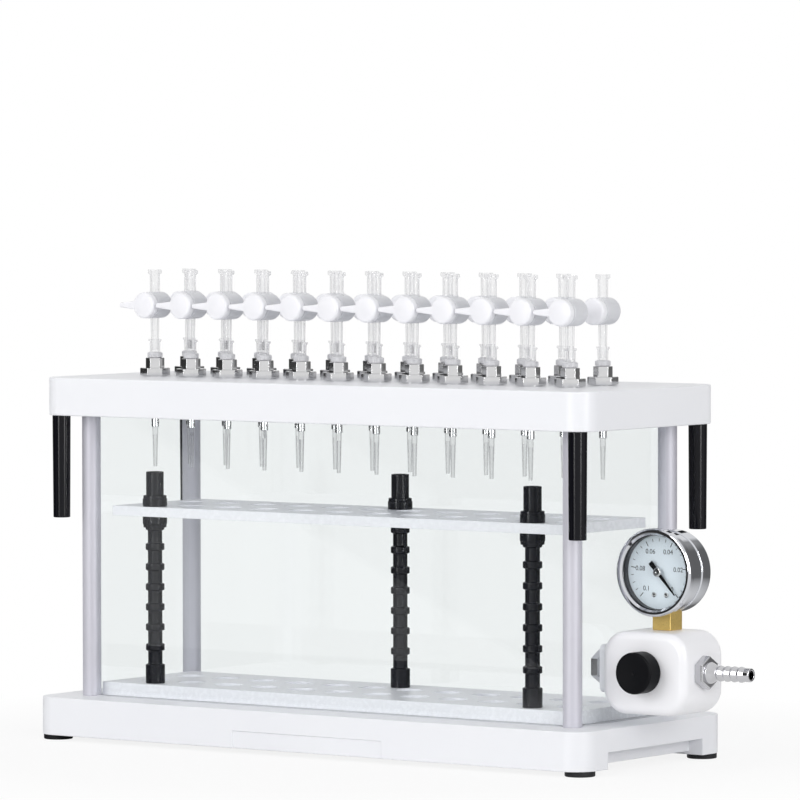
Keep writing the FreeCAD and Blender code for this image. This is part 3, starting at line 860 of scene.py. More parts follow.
@dataclass(frozen=True)
class ChannelPlan:
    """How the channels are laid out."""

    pitch: float = 28.0 * MM
    per_row: int = 12
    row_y: float = 17.2 * MM

    def channels(self) -> list[Channel]:
        """All the channels, the front row first."""
        first = -self.pitch * (self.per_row - 1) / 2
        return [
            Channel(f"{row}_{index + 1:02d}", first + self.pitch * index, side * self.row_y)
            for row, side in (("front", -1), ("rear", 1))
            for index in range(self.per_row)
        ]

    def places(self) -> list[Vector]:
        """The channels' places as level vectors."""
        return [Vector((channel.x, channel.y, 0)) for channel in self.channels()]


PLAN = ChannelPlan()


def corners(x: float, y: float) -> list[Vector]:
    """The four places that mirror one corner."""
    return [Vector((side_x * x, side_y * y, 0)) for side_y in (-1, 1) for side_x in (-1, 1)]


@dataclass
class BaseSlab:
    """The thick base plate with its grips, label recess and rubber feet."""

    corner: float = 14.5 * MM
    rim: float = 0.8 * MM
    recess: tuple[float, float] = (-50.0 * MM, 60.0 * MM)
    recess_top: float = 13.6 * MM
    recess_depth: float = 1.0 * MM
    grip_half: float = 50.0 * MM
    grip_depth: float = 10.0 * MM
    grip_top: float = 13.0 * MM
    sole_top: float = 5.2 * MM
    sole_depth: float = 34.0 * MM
    foot_radius: float = 8.9 * MM
    foot_chamfer: float = 0.4 * MM
    foot_edge: float = 0.2 * MM
    foot_x: float = 193.0 * MM
    foot_y: float = 64.5 * MM

    def build(self) -> None:
        """Model the slab and its feet."""
        low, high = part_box("base_plate")
        slab = block("base_slab", low, high)
        round_edges(slab, self.corner, 12, along_axis(Axis.Z))
        label = block(
            "label_tool",
            Vector((self.recess[0], low.y - SPARE, low.z - SPARE)),
            Vector((self.recess[1], low.y + self.recess_depth, self.recess_top)),
        )
        combine(slab, label, "DIFFERENCE")
        for side in (-1, 1):
            end = high.x * side
            for depth, top in ((self.grip_depth, self.grip_top), (self.sole_depth, self.sole_top)):
                inner, outer = sorted((end - side * depth, end + side * SPARE))
                grip_low = Vector((inner, -self.grip_half, low.z - SPARE))
                grip = block("grip_tool", grip_low, Vector((outer, self.grip_half, top)))
                combine(slab, grip, "DIFFERENCE")
        soften(slab, self.rim, 3)
        hand_over(slab, POLYPROPYLENE, "base", "base_plate")
        self.feet(low.z)

    def feet(self, top: float) -> None:
        """The four rubber feet.

        Args:
            top: The slab's lower face.
        """
        chamfered = self.foot_radius - self.foot_chamfer
        profile = [(0, chamfered), (self.foot_chamfer, self.foot_radius), (top, self.foot_radius)]
        foot = turned("foot", profile, Vector((0, 0, 0)))
        soften(foot, self.foot_edge, 2)
        pads = spread(foot, "rubber_pads", corners(self.foot_x, self.foot_y))
        hand_over(pads, NITRILE_RUBBER, "base", "rubber_feet")


@dataclass
class Tank:
    """The glass tank: round posts that the panes run into, the panes and their seal."""

    post_x: float = 178.0 * MM
    post_y: float = 50.0 * MM
    post_radius: float = 5.7 * MM
    post_edge: float = 0.3 * MM
    pane_edge: float = 0.35 * MM

    def build(self) -> None:
        """Model the posts and the panes."""
        low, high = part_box("corner_posts")
        length = high.z - low.z
        post = turned("tank_post", [(0, self.post_radius), (length, self.post_radius)], Vector((0, 0, low.z)))
        soften(post, self.post_edge, 2, 40)
        posts = spread(post, "tank_posts", corners(self.post_x, self.post_y))
        hand_over(posts, ANODISED_ALUMINIUM, "base", "corner_posts")
        for side in ("front", "back", "left", "right"):
            node = f"glass_{side}"
            pane_low, pane_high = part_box(node)
            pane = block(f"pane_{side}", pane_low, pane_high)
            soften(pane, self.pane_edge, 2)
            hand_over(pane, FLOAT_GLASS, "base", node)
        dress_node("tank_seal", SILICONE)


@dataclass
class Lid:
    """The thick lid and the four legs that it stands on when it is off the tank."""

    corner: float = 14.0 * MM
    rim: float = 0.9 * MM
    seal_band: float = 9.0 * MM
    leg_x: float = 190.6 * MM
    leg_y: float = 63.4 * MM
    leg_top_radius: float = 5.6 * MM
    leg_tip_radius: float = 5.2 * MM
    leg_edge: float = 0.5 * MM

    def build(self) -> None:
        """Model the lid slab and its legs."""
        low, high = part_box("lid_plate")
        slab = block("lid_slab", low, high)
        round_edges(slab, self.corner, 12, along_axis(Axis.Z))
        seal_low, seal_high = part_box("lid_seal")
        groove = block("groove_tool", Vector((seal_low.x, seal_low.y, low.z - SPARE)), seal_high)
        combine(slab, groove, "DIFFERENCE")
        inner = Vector((seal_high.x - self.seal_band, seal_high.y - self.seal_band, 0))
        island = block(
            "island_tool",
            Vector((-inner.x, -inner.y, low.z)),
            Vector((inner.x, inner.y, seal_high.z + SPARE)),
        )
        combine(slab, island, "UNION")
        soften(slab, self.rim, 4)
        hand_over(slab, POLYPROPYLENE, "lid", "lid_plate")
        dress_node("lid_seal", SILICONE)
        leg_low, leg_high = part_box("lid_legs")
        length = leg_high.z - leg_low.z
        leg = turned(
            "leg",
            [(0, self.leg_tip_radius), (length, self.leg_top_radius)],
            Vector((0, 0, leg_low.z)),
        )
        soften(leg, self.leg_edge, 3)
        hand_over(spread(leg, "black_legs", corners(self.leg_x, self.leg_y)), BLACK_ACETAL, "lid", "lid_legs")


@dataclass
class Fittings:
    """The plated bulkhead fittings, their luer sockets and the needles under the lid."""

    flange_flats: float = 16.0 * MM
    flange_height: float = 5.2 * MM
    hex_flats: float = 10.0 * MM
    hex_height: float = 6.2 * MM
    facing: float = math.radians(6.0)
    gap: float = 0.4 * MM
    ring_radius: float = 4.4 * MM
    ring_height: float = 3.5 * MM
    socket_radius: float = 3.3 * MM
    socket_height: float = 7.9 * MM
    lug_radius: float = 4.15 * MM
    lug_height: float = 1.1 * MM
    lug_half_width: float = 1.7 * MM
    lug_slope: float = 0.6 * MM
    wall: float = 0.8 * MM
    ridges: int = 24
    sleeve_radius: float = 2.3 * MM
    sleeve_wall: float = 0.9 * MM
    sleeve_chamfer: float = 0.25 * MM
    chamfer: float = 0.7 * MM
    disc_radius: float = 7.36 * MM
    needle_top: float = 1.7 * MM
    needle_tip: float = 1.2 * MM
    needle_wall: float = 0.45 * MM

    def build(self) -> None:
        """Model one fitting of each kind and repeat it at every channel."""
        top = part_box("lid_plate")[1].z
        sleeve_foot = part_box("port_fittings")[0].z
        needle_low, needle_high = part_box("guide_needles")
        places = PLAN.places()
        group = spread(self.bulkhead(top, sleeve_foot), "bulkhead_fittings", places)
        hand_over(group, NICKEL_PLATE, "lid", "port_fittings")
        ring_foot = top + self.flange_height + self.hex_height
        group = spread(self.luer_ring(ring_foot), "luer_rings", places)
        hand_over(group, FROSTED_RING, "lid")
        group = spread(self.luer_socket(ring_foot + self.ring_height * 0.4), "luer_sockets", places)
        hand_over(group, CLEAR_POLYCARBONATE, "lid")
        group = spread(self.needle(needle_low.z, needle_high.z), "needle_tubes", places)
        hand_over(group, CLEAR_NEEDLE, "lid", "guide_needles")

    def bulkhead(self, top: float, bottom: float) -> bpy.types.Object:
        """The two hexagons and the sleeve of a fitting.

        Args:
            top: The lid's upper face.
            bottom: The sleeve's lower end.

        Returns:
            The fitting, about the frame's origin.
        """
        shoulder = self.chamfer * 0.35
        corner = self.flange_flats / math.sqrt(3)
        profile = [
            (self.gap, corner - self.chamfer * 0.6),
            (self.gap + shoulder, corner),
            (self.flange_height - shoulder, corner),
            (self.flange_height, corner - self.chamfer),
        ]
        flange = turned("flange", profile, Vector((0, 0, top)), sides=6, turn=self.facing)
        soften(flange, 0.22 * MM, 3, 25)
        corner = self.hex_flats / math.sqrt(3)
        hex_top = self.flange_height + self.hex_height
        profile = [
            (self.flange_height - self.gap, corner),
            (hex_top - shoulder, corner),
            (hex_top, corner - self.chamfer),
        ]
        upper = turned("upper_hex", profile, Vector((0, 0, top)), sides=6, turn=self.facing)
        soften(upper, 0.2 * MM, 3, 25)
        profile = [(0, self.disc_radius), (self.gap * 2, self.disc_radius)]
        foot = turned("foot_disc", profile, Vector((0, 0, top)))
        soften(foot, 0.1 * MM, 1)
        profile = [
            (bottom, self.sleeve_radius - self.sleeve_wall),
            (bottom, self.sleeve_radius - self.sleeve_chamfer),
            (bottom + self.sleeve_chamfer, self.sleeve_radius),
            (top, self.sleeve_radius),
        ]
        sleeve = turned("sleeve", profile, Vector((0, 0, 0)), sides=SLIM_ROUND)
        soften(sleeve, 0.08 * MM, 1, 30)
        return joined([flange, upper, foot, sleeve], "bulkhead")

    def luer_ring(self, foot: float) -> bpy.types.Object:
        """The knurled ring round the foot of the luer socket."""
        profile = [
            (0, self.ring_radius - 0.5 * MM),
            (0.3 * MM, self.ring_radius),
            (self.ring_height - 0.5 * MM, self.ring_radius),
            (self.ring_height, self.socket_radius + 0.2 * MM),
        ]
        ring = turned("luer_ring", profile, Vector((0, 0, foot)), sides=2 * self.ridges)
        with editing(ring):
            pick_faces(ring, lambda centre, normal: abs(normal.z) < 0.2 and self.is_ridge(centre))
            bpy.ops.mesh.inset(thickness=0.08 * MM, depth=0.0, use_individual=True)
            bpy.ops.transform.resize(value=(1.06, 1.06, 1.0), center_override=Vector((0, 0, foot)))
        shade(ring, 25.0)
        return ring

    def is_ridge(self, centre: Vector) -> bool:
        """Whether a face of the knurled ring is one of every second face round it."""
        step = math.atan2(centre.y, centre.x) / (2 * math.pi) * 2 * self.ridges
        return int(math.floor(step)) % 2 == 0

    def luer_socket(self, foot: float) -> bpy.types.Object:
        """The clear socket with its two lugs."""
        height = self.socket_height + self.ring_height * 0.6
        lug_foot = height - self.lug_height
        bore = self.socket_radius - self.wall
        profile = [
            (0, self.socket_radius * 0.92),
            (lug_foot - self.lug_slope, self.socket_radius),
            (lug_foot, self.lug_radius),
            (height - 0.2 * MM, self.lug_radius),
            (height, self.lug_radius - 0.3 * MM),
            (height, bore),
            (1.2 * MM, bore * 0.94),
        ]
        socket = turned("luer_socket", profile, Vector((0, 0, foot)), sides=SLIM_ROUND)
        cut_from = foot + lug_foot - self.lug_slope - 0.1 * MM
        cut_to = foot + height + SPARE
        leave_lugs(socket, self.socket_radius, self.lug_radius, self.lug_half_width, cut_from, cut_to)
        shade(socket)
        return socket

    def needle(self, bottom: float, top: float) -> bpy.types.Object:
        """The clear tapered tube that hangs from the sleeve."""
        length = top - bottom
        profile = [
            (length, self.needle_top),
            (length * 0.85, self.needle_top),
            (0.3 * MM, self.needle_tip),
            (0, self.needle_tip - 0.15 * MM),
            (0, self.needle_tip - self.needle_wall),
            (length * 0.8, self.needle_top - self.needle_wall),
        ]
        needle = turned("needle", profile, Vector((0, 0, bottom)), sides=SLIM_ROUND)
        shade(needle)
        return needle


@dataclass
class Stopcocks:
    """The stopcocks: drum, clear barrels and the handle that turns."""

    drum_radius: float = 8.1 * MM
    drum_front: float = -6.5 * MM
    drum_back: float = 8.5 * MM
    drum_rounding: float = 2.6 * MM
    drum_edge: float = 0.5 * MM
    axis_height: float = 43.7 * MM
    lower_radius: float = 2.7 * MM
    lower_foot: float = 16.0 * MM
    barrel_radius: float = 3.1 * MM
    lip_radius: float = 4.4 * MM
    lip_height: float = 2.2 * MM
    lip_half_width: float = 2.0 * MM
    lip_slope: float = 0.8 * MM
    overlap: float = 0.8 * MM
    total_height: float = 65.4 * MM
    wall: float = 0.9 * MM
    head_radius: float = 8.0 * MM
    head_front: float = -12.6 * MM
    head_back: float = -6.8 * MM
    lever_reach: float = 18.6 * MM
    lever_root: float = 2.8 * MM
    lever_tip: float = 1.3 * MM
    lever_back: float = -9.4 * MM
    plug_radius: float = 3.0 * MM
    plug_end: float = 3.2 * MM

    def build(self) -> None:
        """Model one stopcock and repeat it at every channel."""
        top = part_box("lid_plate")[1].z
        axis = top + self.axis_height
        places = PLAN.places()
        drums = spread(self.drum(axis), "stopcock_drums", places)
        # The drums take the greyer copy of the handle's stock: painted shade
        hand_over(drums, SHADED_POLYETHYLENE, "lid", "stopcock_bodies")
        tubes = spread(self.lower_tube(top, axis), "lower_tubes", places)
        hand_over(tubes, CLEAR_POLYCARBONATE, "lid")
        barrels = spread(self.barrel(top, axis), "upper_barrels", places)
        hand_over(barrels, CLEAR_POLYCARBONATE, "lid")
        pattern = self.handle(axis)
        for channel in PLAN.channels():
            piece = copied(pattern, f"valve_lever_{channel.name}", Vector((channel.x, channel.y, 0)))
            hand_over(piece, MILKY_POLYETHYLENE, f"valve_{channel.name}", f"handle_{channel.name}")
        bpy.data.objects.remove(pattern)

    def drum(self, axis: float) -> bpy.types.Object:
        """The still drum, bored in front for the plug."""
        soft, edge = self.drum_rounding, self.drum_edge
        bore = self.plug_radius + 0.35 * MM
        profile = [(self.drum_back, self.drum_radius - 2 * soft)]
        profile += arc(self.drum_back - soft, self.drum_radius - soft, soft, 0, 90)
        profile += arc(self.drum_front + edge, self.drum_radius - edge, edge, 90, 180, 3)
        profile += [(self.drum_front, bore), (self.plug_end + 0.3 * MM, bore)]
        drum = turned("drum", profile, Vector((0, 0, axis)), Axis.Y)
        shade(drum)
        return drum

    def lower_tube(self, top: float, axis: float) -> bpy.types.Object:
        """The clear tube from the drum down into the luer socket."""
        foot = top + self.lower_foot
        length = axis - self.drum_radius + self.overlap - foot
        tip_radius = self.lower_radius * 0.86
        profile = [
            (0, tip_radius),
            (length, self.lower_radius),
            (length, self.lower_radius - self.wall),
            (0, tip_radius - self.wall),
        ]
        tube = turned_ring("lower_tube", profile, Vector((0, 0, foot)), sides=SLIM_ROUND)
        shade(tube)
        return tube

    def barrel(self, top: float, axis: float) -> bpy.types.Object:
        """The clear lipped barrel that takes a cartridge."""
        foot = axis + self.drum_radius - self.overlap
        length = top + self.total_height - foot
        lip = length - self.lip_height
        profile = [
            (0, self.barrel_radius),
            (lip - self.lip_slope, self.barrel_radius),
            (lip, self.lip_radius),
            (length - 0.3 * MM, self.lip_radius),
            (length, self.lip_radius - 0.3 * MM),
            (length, self.barrel_radius - self.wall * 0.7),
            (0, self.barrel_radius - self.wall),
        ]
        barrel = turned_ring("upper_barrel", profile, Vector((0, 0, foot)), sides=SLIM_ROUND)
        cut_from = foot + lip - self.lip_slope - 0.2 * MM
        cut_to = foot + length + 1 * MM
        leave_lugs(barrel, self.barrel_radius, self.lip_radius, self.lip_half_width, cut_from, cut_to)
        shade(barrel)
        return barrel

    def handle(self, axis: float) -> bpy.types.Object:
        """The turning half: domed head, plug and a lever to the left."""
        centre = Vector((0, 0, axis))
        chamfer, edge, soft = 0.4 * MM, 0.6 * MM, 1.8 * MM
        profile = [(self.plug_end, self.plug_radius - chamfer), (self.plug_end - chamfer, self.plug_radius)]
        profile += [(self.head_back, self.plug_radius)]
        profile += arc(self.head_back - edge, self.head_radius - edge, edge, 0, 90, 3)
        profile += arc(self.head_front + soft + 0.5 * MM, self.head_radius - soft, soft, 90, 165, 6)
        profile += [(self.head_front + 0.12 * MM, self.head_radius * 0.45), (self.head_front, 0)]
        head = turned("handle", profile, centre, Axis.Y)
        lever = block(
            "lever",
            Vector((-self.head_radius * 0.6, self.head_front + edge, axis - self.lever_root)),
            Vector((0, self.lever_back + edge, axis + self.lever_root)),
        )
        with editing(lever):
            pick_faces(lever, lambda middle, normal: normal.x < -0.9)
            reach = self.lever_reach - self.head_radius * 0.6
            bpy.ops.mesh.extrude_region_move(TRANSFORM_OT_translate={"value": (-reach, 0, 0)})
            share = self.lever_tip / self.lever_root
            end = Vector((-self.lever_reach, (self.head_front + self.lever_back) / 2, axis))
            bpy.ops.transform.resize(value=(1, 0.8, share), center_override=end)
        soften(lever, 0.9 * MM, 3)
        combine(head, lever, "UNION")
        shade(head, 40.0)
        return head


@dataclass
class Rack:
    """The tube rack: two drilled plates, three notched poles and the shelf's clips."""

    hole_radius: float = 8.5 * MM
    seat_depth: float = 4.5 * MM
    pole_x: float = 140.0 * MM
    front_y: float = -35.6 * MM
    rear_y: float = 26.5 * MM
    pole_radius: float = 4.4 * MM
    ring_radius: float = 5.75 * MM
    ring_height: float = 4.7 * MM
    slope: float = 0.5 * MM
    ring_pitch: float = 12.3 * MM
    first_ring: float = 54.5 * MM
    rings: int = 7
    foot_radius: float = 5.9 * MM
    foot_height: float = 12.0 * MM
    cap_radius: float = 5.4 * MM
    cap_bottom: float = 149.6 * MM
    clearance: float = 0.35 * MM
    clip_radius: float = 7.5 * MM
    clip_height: float = 6.8 * MM

    def build(self) -> None:
        """Model the plates, the poles and the clips."""
        low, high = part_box("rack_base")
        plate = block("rack_floor", low, high)
        self.drill(plate, high.z - self.seat_depth, high.z + SPARE, [])
        soften(plate, 0.5 * MM, 2)
        hand_over(plate, WHITE_ACRYLIC, "base", "rack_base")
        # The floor plate's tops take a darker copy of its acrylic: painted shade
        face_over(plate, SHADED_TOP_ACRYLIC, high.z - 0.1 * MM)
        foot = high.z
        shelf_low, shelf_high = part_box("rack_shelf")
        plate = block("rack_plate", shelf_low, shelf_high)
        self.drill(plate, shelf_low.z - SPARE, shelf_high.z + SPARE, list(self.poles().values()))
        soften(plate, 0.35 * MM, 2)
        hand_over(plate, WHITE_ACRYLIC, "shelf", "rack_shelf")
        # The shelf's tops take a darker copy of its acrylic: painted shade
        face_over(plate, SHADED_TOP_ACRYLIC, shelf_high.z - 0.1 * MM)
        _, pole_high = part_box("rack_pole_left")
        for name, place in self.poles().items():
            pole = self.pole(f"notched_pole_{name}", place, foot, pole_high.z)
            hand_over(pole, BLACK_NYLON, "base", f"rack_pole_{name}")
        clips = []
        for name, place in self.poles().items():
            clips.append(self.clip(place, shelf_high.z, 1))
            if name != "rear":
                clips.append(self.clip(place, shelf_low.z, -1))
        hand_over(joined(clips, "pole_clips"), BLACK_NYLON, "shelf", "shelf_clips")

    def poles(self) -> dict[str, Vector]:
        """Where the three poles stand."""
        return {
            "left": Vector((-self.pole_x, self.front_y, 0)),
            "right": Vector((self.pole_x, self.front_y, 0)),
            "rear": Vector((0, self.rear_y, 0)),
        }

    def drill(self, plate: bpy.types.Object, bottom: float, top: float, poles: Sequence[Vector]) -> None:
        """Drill a plate at every channel, and at the poles.

        Args:
            plate: The plate to drill.
            bottom: The holes' lower end.
            top: Their upper end.
            poles: Where a pole passes through.
        """
        drill = turned(
            "drill", [(bottom, self.hole_radius), (top, self.hole_radius)], Vector((0, 0, 0)), sides=48
        )
        tools = [spread(drill, "drills", PLAN.places())]
        room = self.ring_radius + self.clearance
        for place in poles:
            tools.append(turned("pole_drill", [(bottom, room), (top, room)], place.copy(), sides=48))
        for tool in tools:
            combine(plate, tool, "DIFFERENCE")

    def pole(self, name: str, place: Vector, bottom: float, top: float) -> bpy.types.Object:
        """Turn one pole: foot sleeve, evenly spaced rings and a plain cap.

        Args:
            name: The piece's name.
            place: Where it stands.
            bottom: The upper face of the rack's floor.
            top: The pole's top.

        Returns:
            The pole.
        """
        slope = self.slope
        profile = [(bottom, self.foot_radius), (bottom + self.foot_height - slope, self.foot_radius)]
        profile += [(bottom + self.foot_height, self.pole_radius)]
        for index in range(self.rings):
            start = self.first_ring + index * self.ring_pitch
            profile += [
                (start, self.pole_radius),
                (start + slope, self.ring_radius),
                (start + self.ring_height - slope, self.ring_radius),
                (start + self.ring_height, self.pole_radius),
            ]
        profile += [
            (self.cap_bottom - slope, self.pole_radius),
            (self.cap_bottom, self.cap_radius),
            (top, self.cap_radius),
            (top, self.cap_radius - 1.2 * MM),
            (top - 1.0 * MM, self.cap_radius - 1.4 * MM),
        ]
        pole = turned(name, profile, place.copy(), sides=48)
        soften(pole, 0.3 * MM, 2, 28)
        return pole

    def clip(self, place: Vector, face: float, way: int) -> bpy.types.Object:
        """Turn one clip, with its broad end on the shelf.

        Args:
            place: Where its pole stands.
            face: The face of the shelf that it sits on.
            way: 1 for a clip above the shelf, -1 for one below.

        Returns:
            The clip.
        """
        room = self.ring_radius + self.clearance
        neck = room + 1.0 * MM
        profile = [
            (0, room),
            (0, self.clip_radius),
            (self.clip_height * 0.68, self.clip_radius),
            (self.clip_height * 0.76, neck),
            (self.clip_height, neck),
            (self.clip_height, room),
        ]
        profile = [(way * along, radius) for along, radius in profile]
        clip = turned_ring("clip", profile, Vector((place.x, place.y, face)), sides=48)
        soften(clip, 0.25 * MM, 2, 28)
        return clip


@dataclass
class VacuumBlock:
    """The soft block on the right pane, with its flange, bleed knob and hose tail."""

    corner: float = 14.5 * MM
    rim: float = 5.0 * MM
    port_tube: float = 5.8 * MM
    flange_corner: float = 3.5 * MM
    knob_radius: float = 12.15 * MM
    spindle_radius: float = 4.0 * MM
    hex_flats: float = 17.0 * MM
    hex_end: float = 250.0 * MM
    collar_radius: float = 6.4 * MM
    neck_radius: float = 3.9 * MM
    ridge_radius: float = 4.6 * MM
    ridges: int = 4
    ridge_pitch: float = 4.7 * MM
    ridge_rise: float = 0.7 * MM
    nose: float = 3.2 * MM
    bore_radius: float = 2.6 * MM

    def build(self) -> None:
        """Model the block and what is screwed to it."""
        low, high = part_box("vacuum_block")
        self.soft_block(low, high)
        self.flange()
        self.knob()
        self.hose_tail(high)
        dress_node("port_nut", NICKEL_PLATE)

    def soft_block(self, low: Vector, high: Vector) -> None:
        """The block itself, rounded all over."""
        piece = block("soft_block", low, high)
        round_edges(piece, self.corner, 10, along_axis(Axis.Y))
        for face_y in (low.y, high.y):
            round_edges(
                piece, self.rim, 8, lambda a, b: abs(a.y - face_y) < 1e-6 and abs(b.y - face_y) < 1e-6
            )
        shade(piece, 40.0)
        hand_over(piece, POLISHED_POLYPROPYLENE, "base", "vacuum_block")

    def flange(self) -> None:
        """The square flange and its tube, between the pane and the block."""
        low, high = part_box("vacuum_port")
        centre = (low + high) / 2
        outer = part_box("glass_right")[1].x
        plate = block("port_flange", Vector((outer, low.y, low.z)), high)
        round_edges(plate, self.flange_corner, 6, along_axis(Axis.X))
        soften(plate, 0.5 * MM, 3, 40)
        chamfer = 0.4 * MM
        profile = [(low.x, self.port_tube - chamfer), (low.x + chamfer, self.port_tube)]
        profile += [(outer, self.port_tube)]
        tube = turned("port_tube", profile, Vector((0, centre.y, centre.z)), Axis.X)
        shade(tube)
        hand_over(joined([plate, tube], "port_flange"), POLYPROPYLENE, "base", "vacuum_port")

    def knob(self) -> None:
        """The bleed knob with its spindle."""
        low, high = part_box("regulator_knob")
        centre = (low + high) / 2
        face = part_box("vacuum_block")[0].y - 0.3 * MM
        dish = 0.5 * MM
        profile = [(high.y, self.spindle_radius - 0.4 * MM), (high.y - 0.4 * MM, self.spindle_radius)]
        profile += [(face, self.spindle_radius), (face, self.knob_radius - 0.5 * MM)]
        profile += [(face - 0.5 * MM, self.knob_radius)]
        profile += arc(low.y + 0.9 * MM, self.knob_radius - 0.9 * MM, 0.9 * MM, 90, 180, 4)
        profile += [(low.y, self.knob_radius * 0.8), (low.y + dish * 0.6, self.knob_radius * 0.7)]
        profile += [(low.y + dish, self.knob_radius * 0.12), (low.y + 2 * dish, self.knob_radius * 0.05)]
        piece = turned("bleed_knob", profile, Vector((centre.x, 0, centre.z)), Axis.Y)
        shade(piece)
        hand_over(piece, BLACK_KNOB, "regulator", "regulator_knob")

    def hose_tail(self, block_high: Vector) -> None:
        """The hexagon and the ridged tail for the hose."""
        low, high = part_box("hose_barb")
        start = Vector((0, (low.y + high.y) / 2, (low.z + high.z) / 2))
        tip = high.x
        first = tip - self.nose - self.ridges * self.ridge_pitch
        neck, ridge, rise = self.neck_radius, self.ridge_radius, self.ridge_rise
        profile = [(self.hex_end - 1 * MM, self.collar_radius), (self.hex_end + 0.6 * MM, self.collar_radius)]
        profile += [(first - 0.6 * MM, neck)]
        for index in range(self.ridges):
            foot = first + index * self.ridge_pitch
            profile += [(foot, neck), (foot + rise, ridge), (foot + 2 * rise, ridge)]
            profile += [(foot + self.ridge_pitch - rise, neck)]
        nose_radius = neck + 0.1 * MM
        profile += [(tip - self.nose, nose_radius), (tip - 0.4 * MM, nose_radius)]
        profile += [(tip, nose_radius - 0.3 * MM)]
        profile += [(tip, self.bore_radius), (block_high.x + 1 * MM, self.bore_radius)]
        tail = turned("hose_tail", profile, start, Axis.X, sides=48)
        soften(tail, 0.2 * MM, 2, 25)
        corner = self.hex_flats / math.sqrt(3)
        chamfer = 0.9 * MM
        nut_profile = [(low.x, corner - 0.3 * MM), (low.x + 0.3 * MM, corner)]
        nut_profile += [(self.hex_end - chamfer * 0.5, corner), (self.hex_end, corner - chamfer)]
        nut = turned("hose_nut", nut_profile, start, Axis.X, sides=6)
        with editing(nut):
            bpy.ops.mesh.select_all(action="SELECT")
            bpy.ops.transform.rotate(value=math.radians(30), orient_axis="X", center_override=start)
        soften(nut, 0.25 * MM, 3, 25)
        hand_over(joined([tail, nut], "hose_tail"), TURNED_NICKEL, "base", "hose_barb")


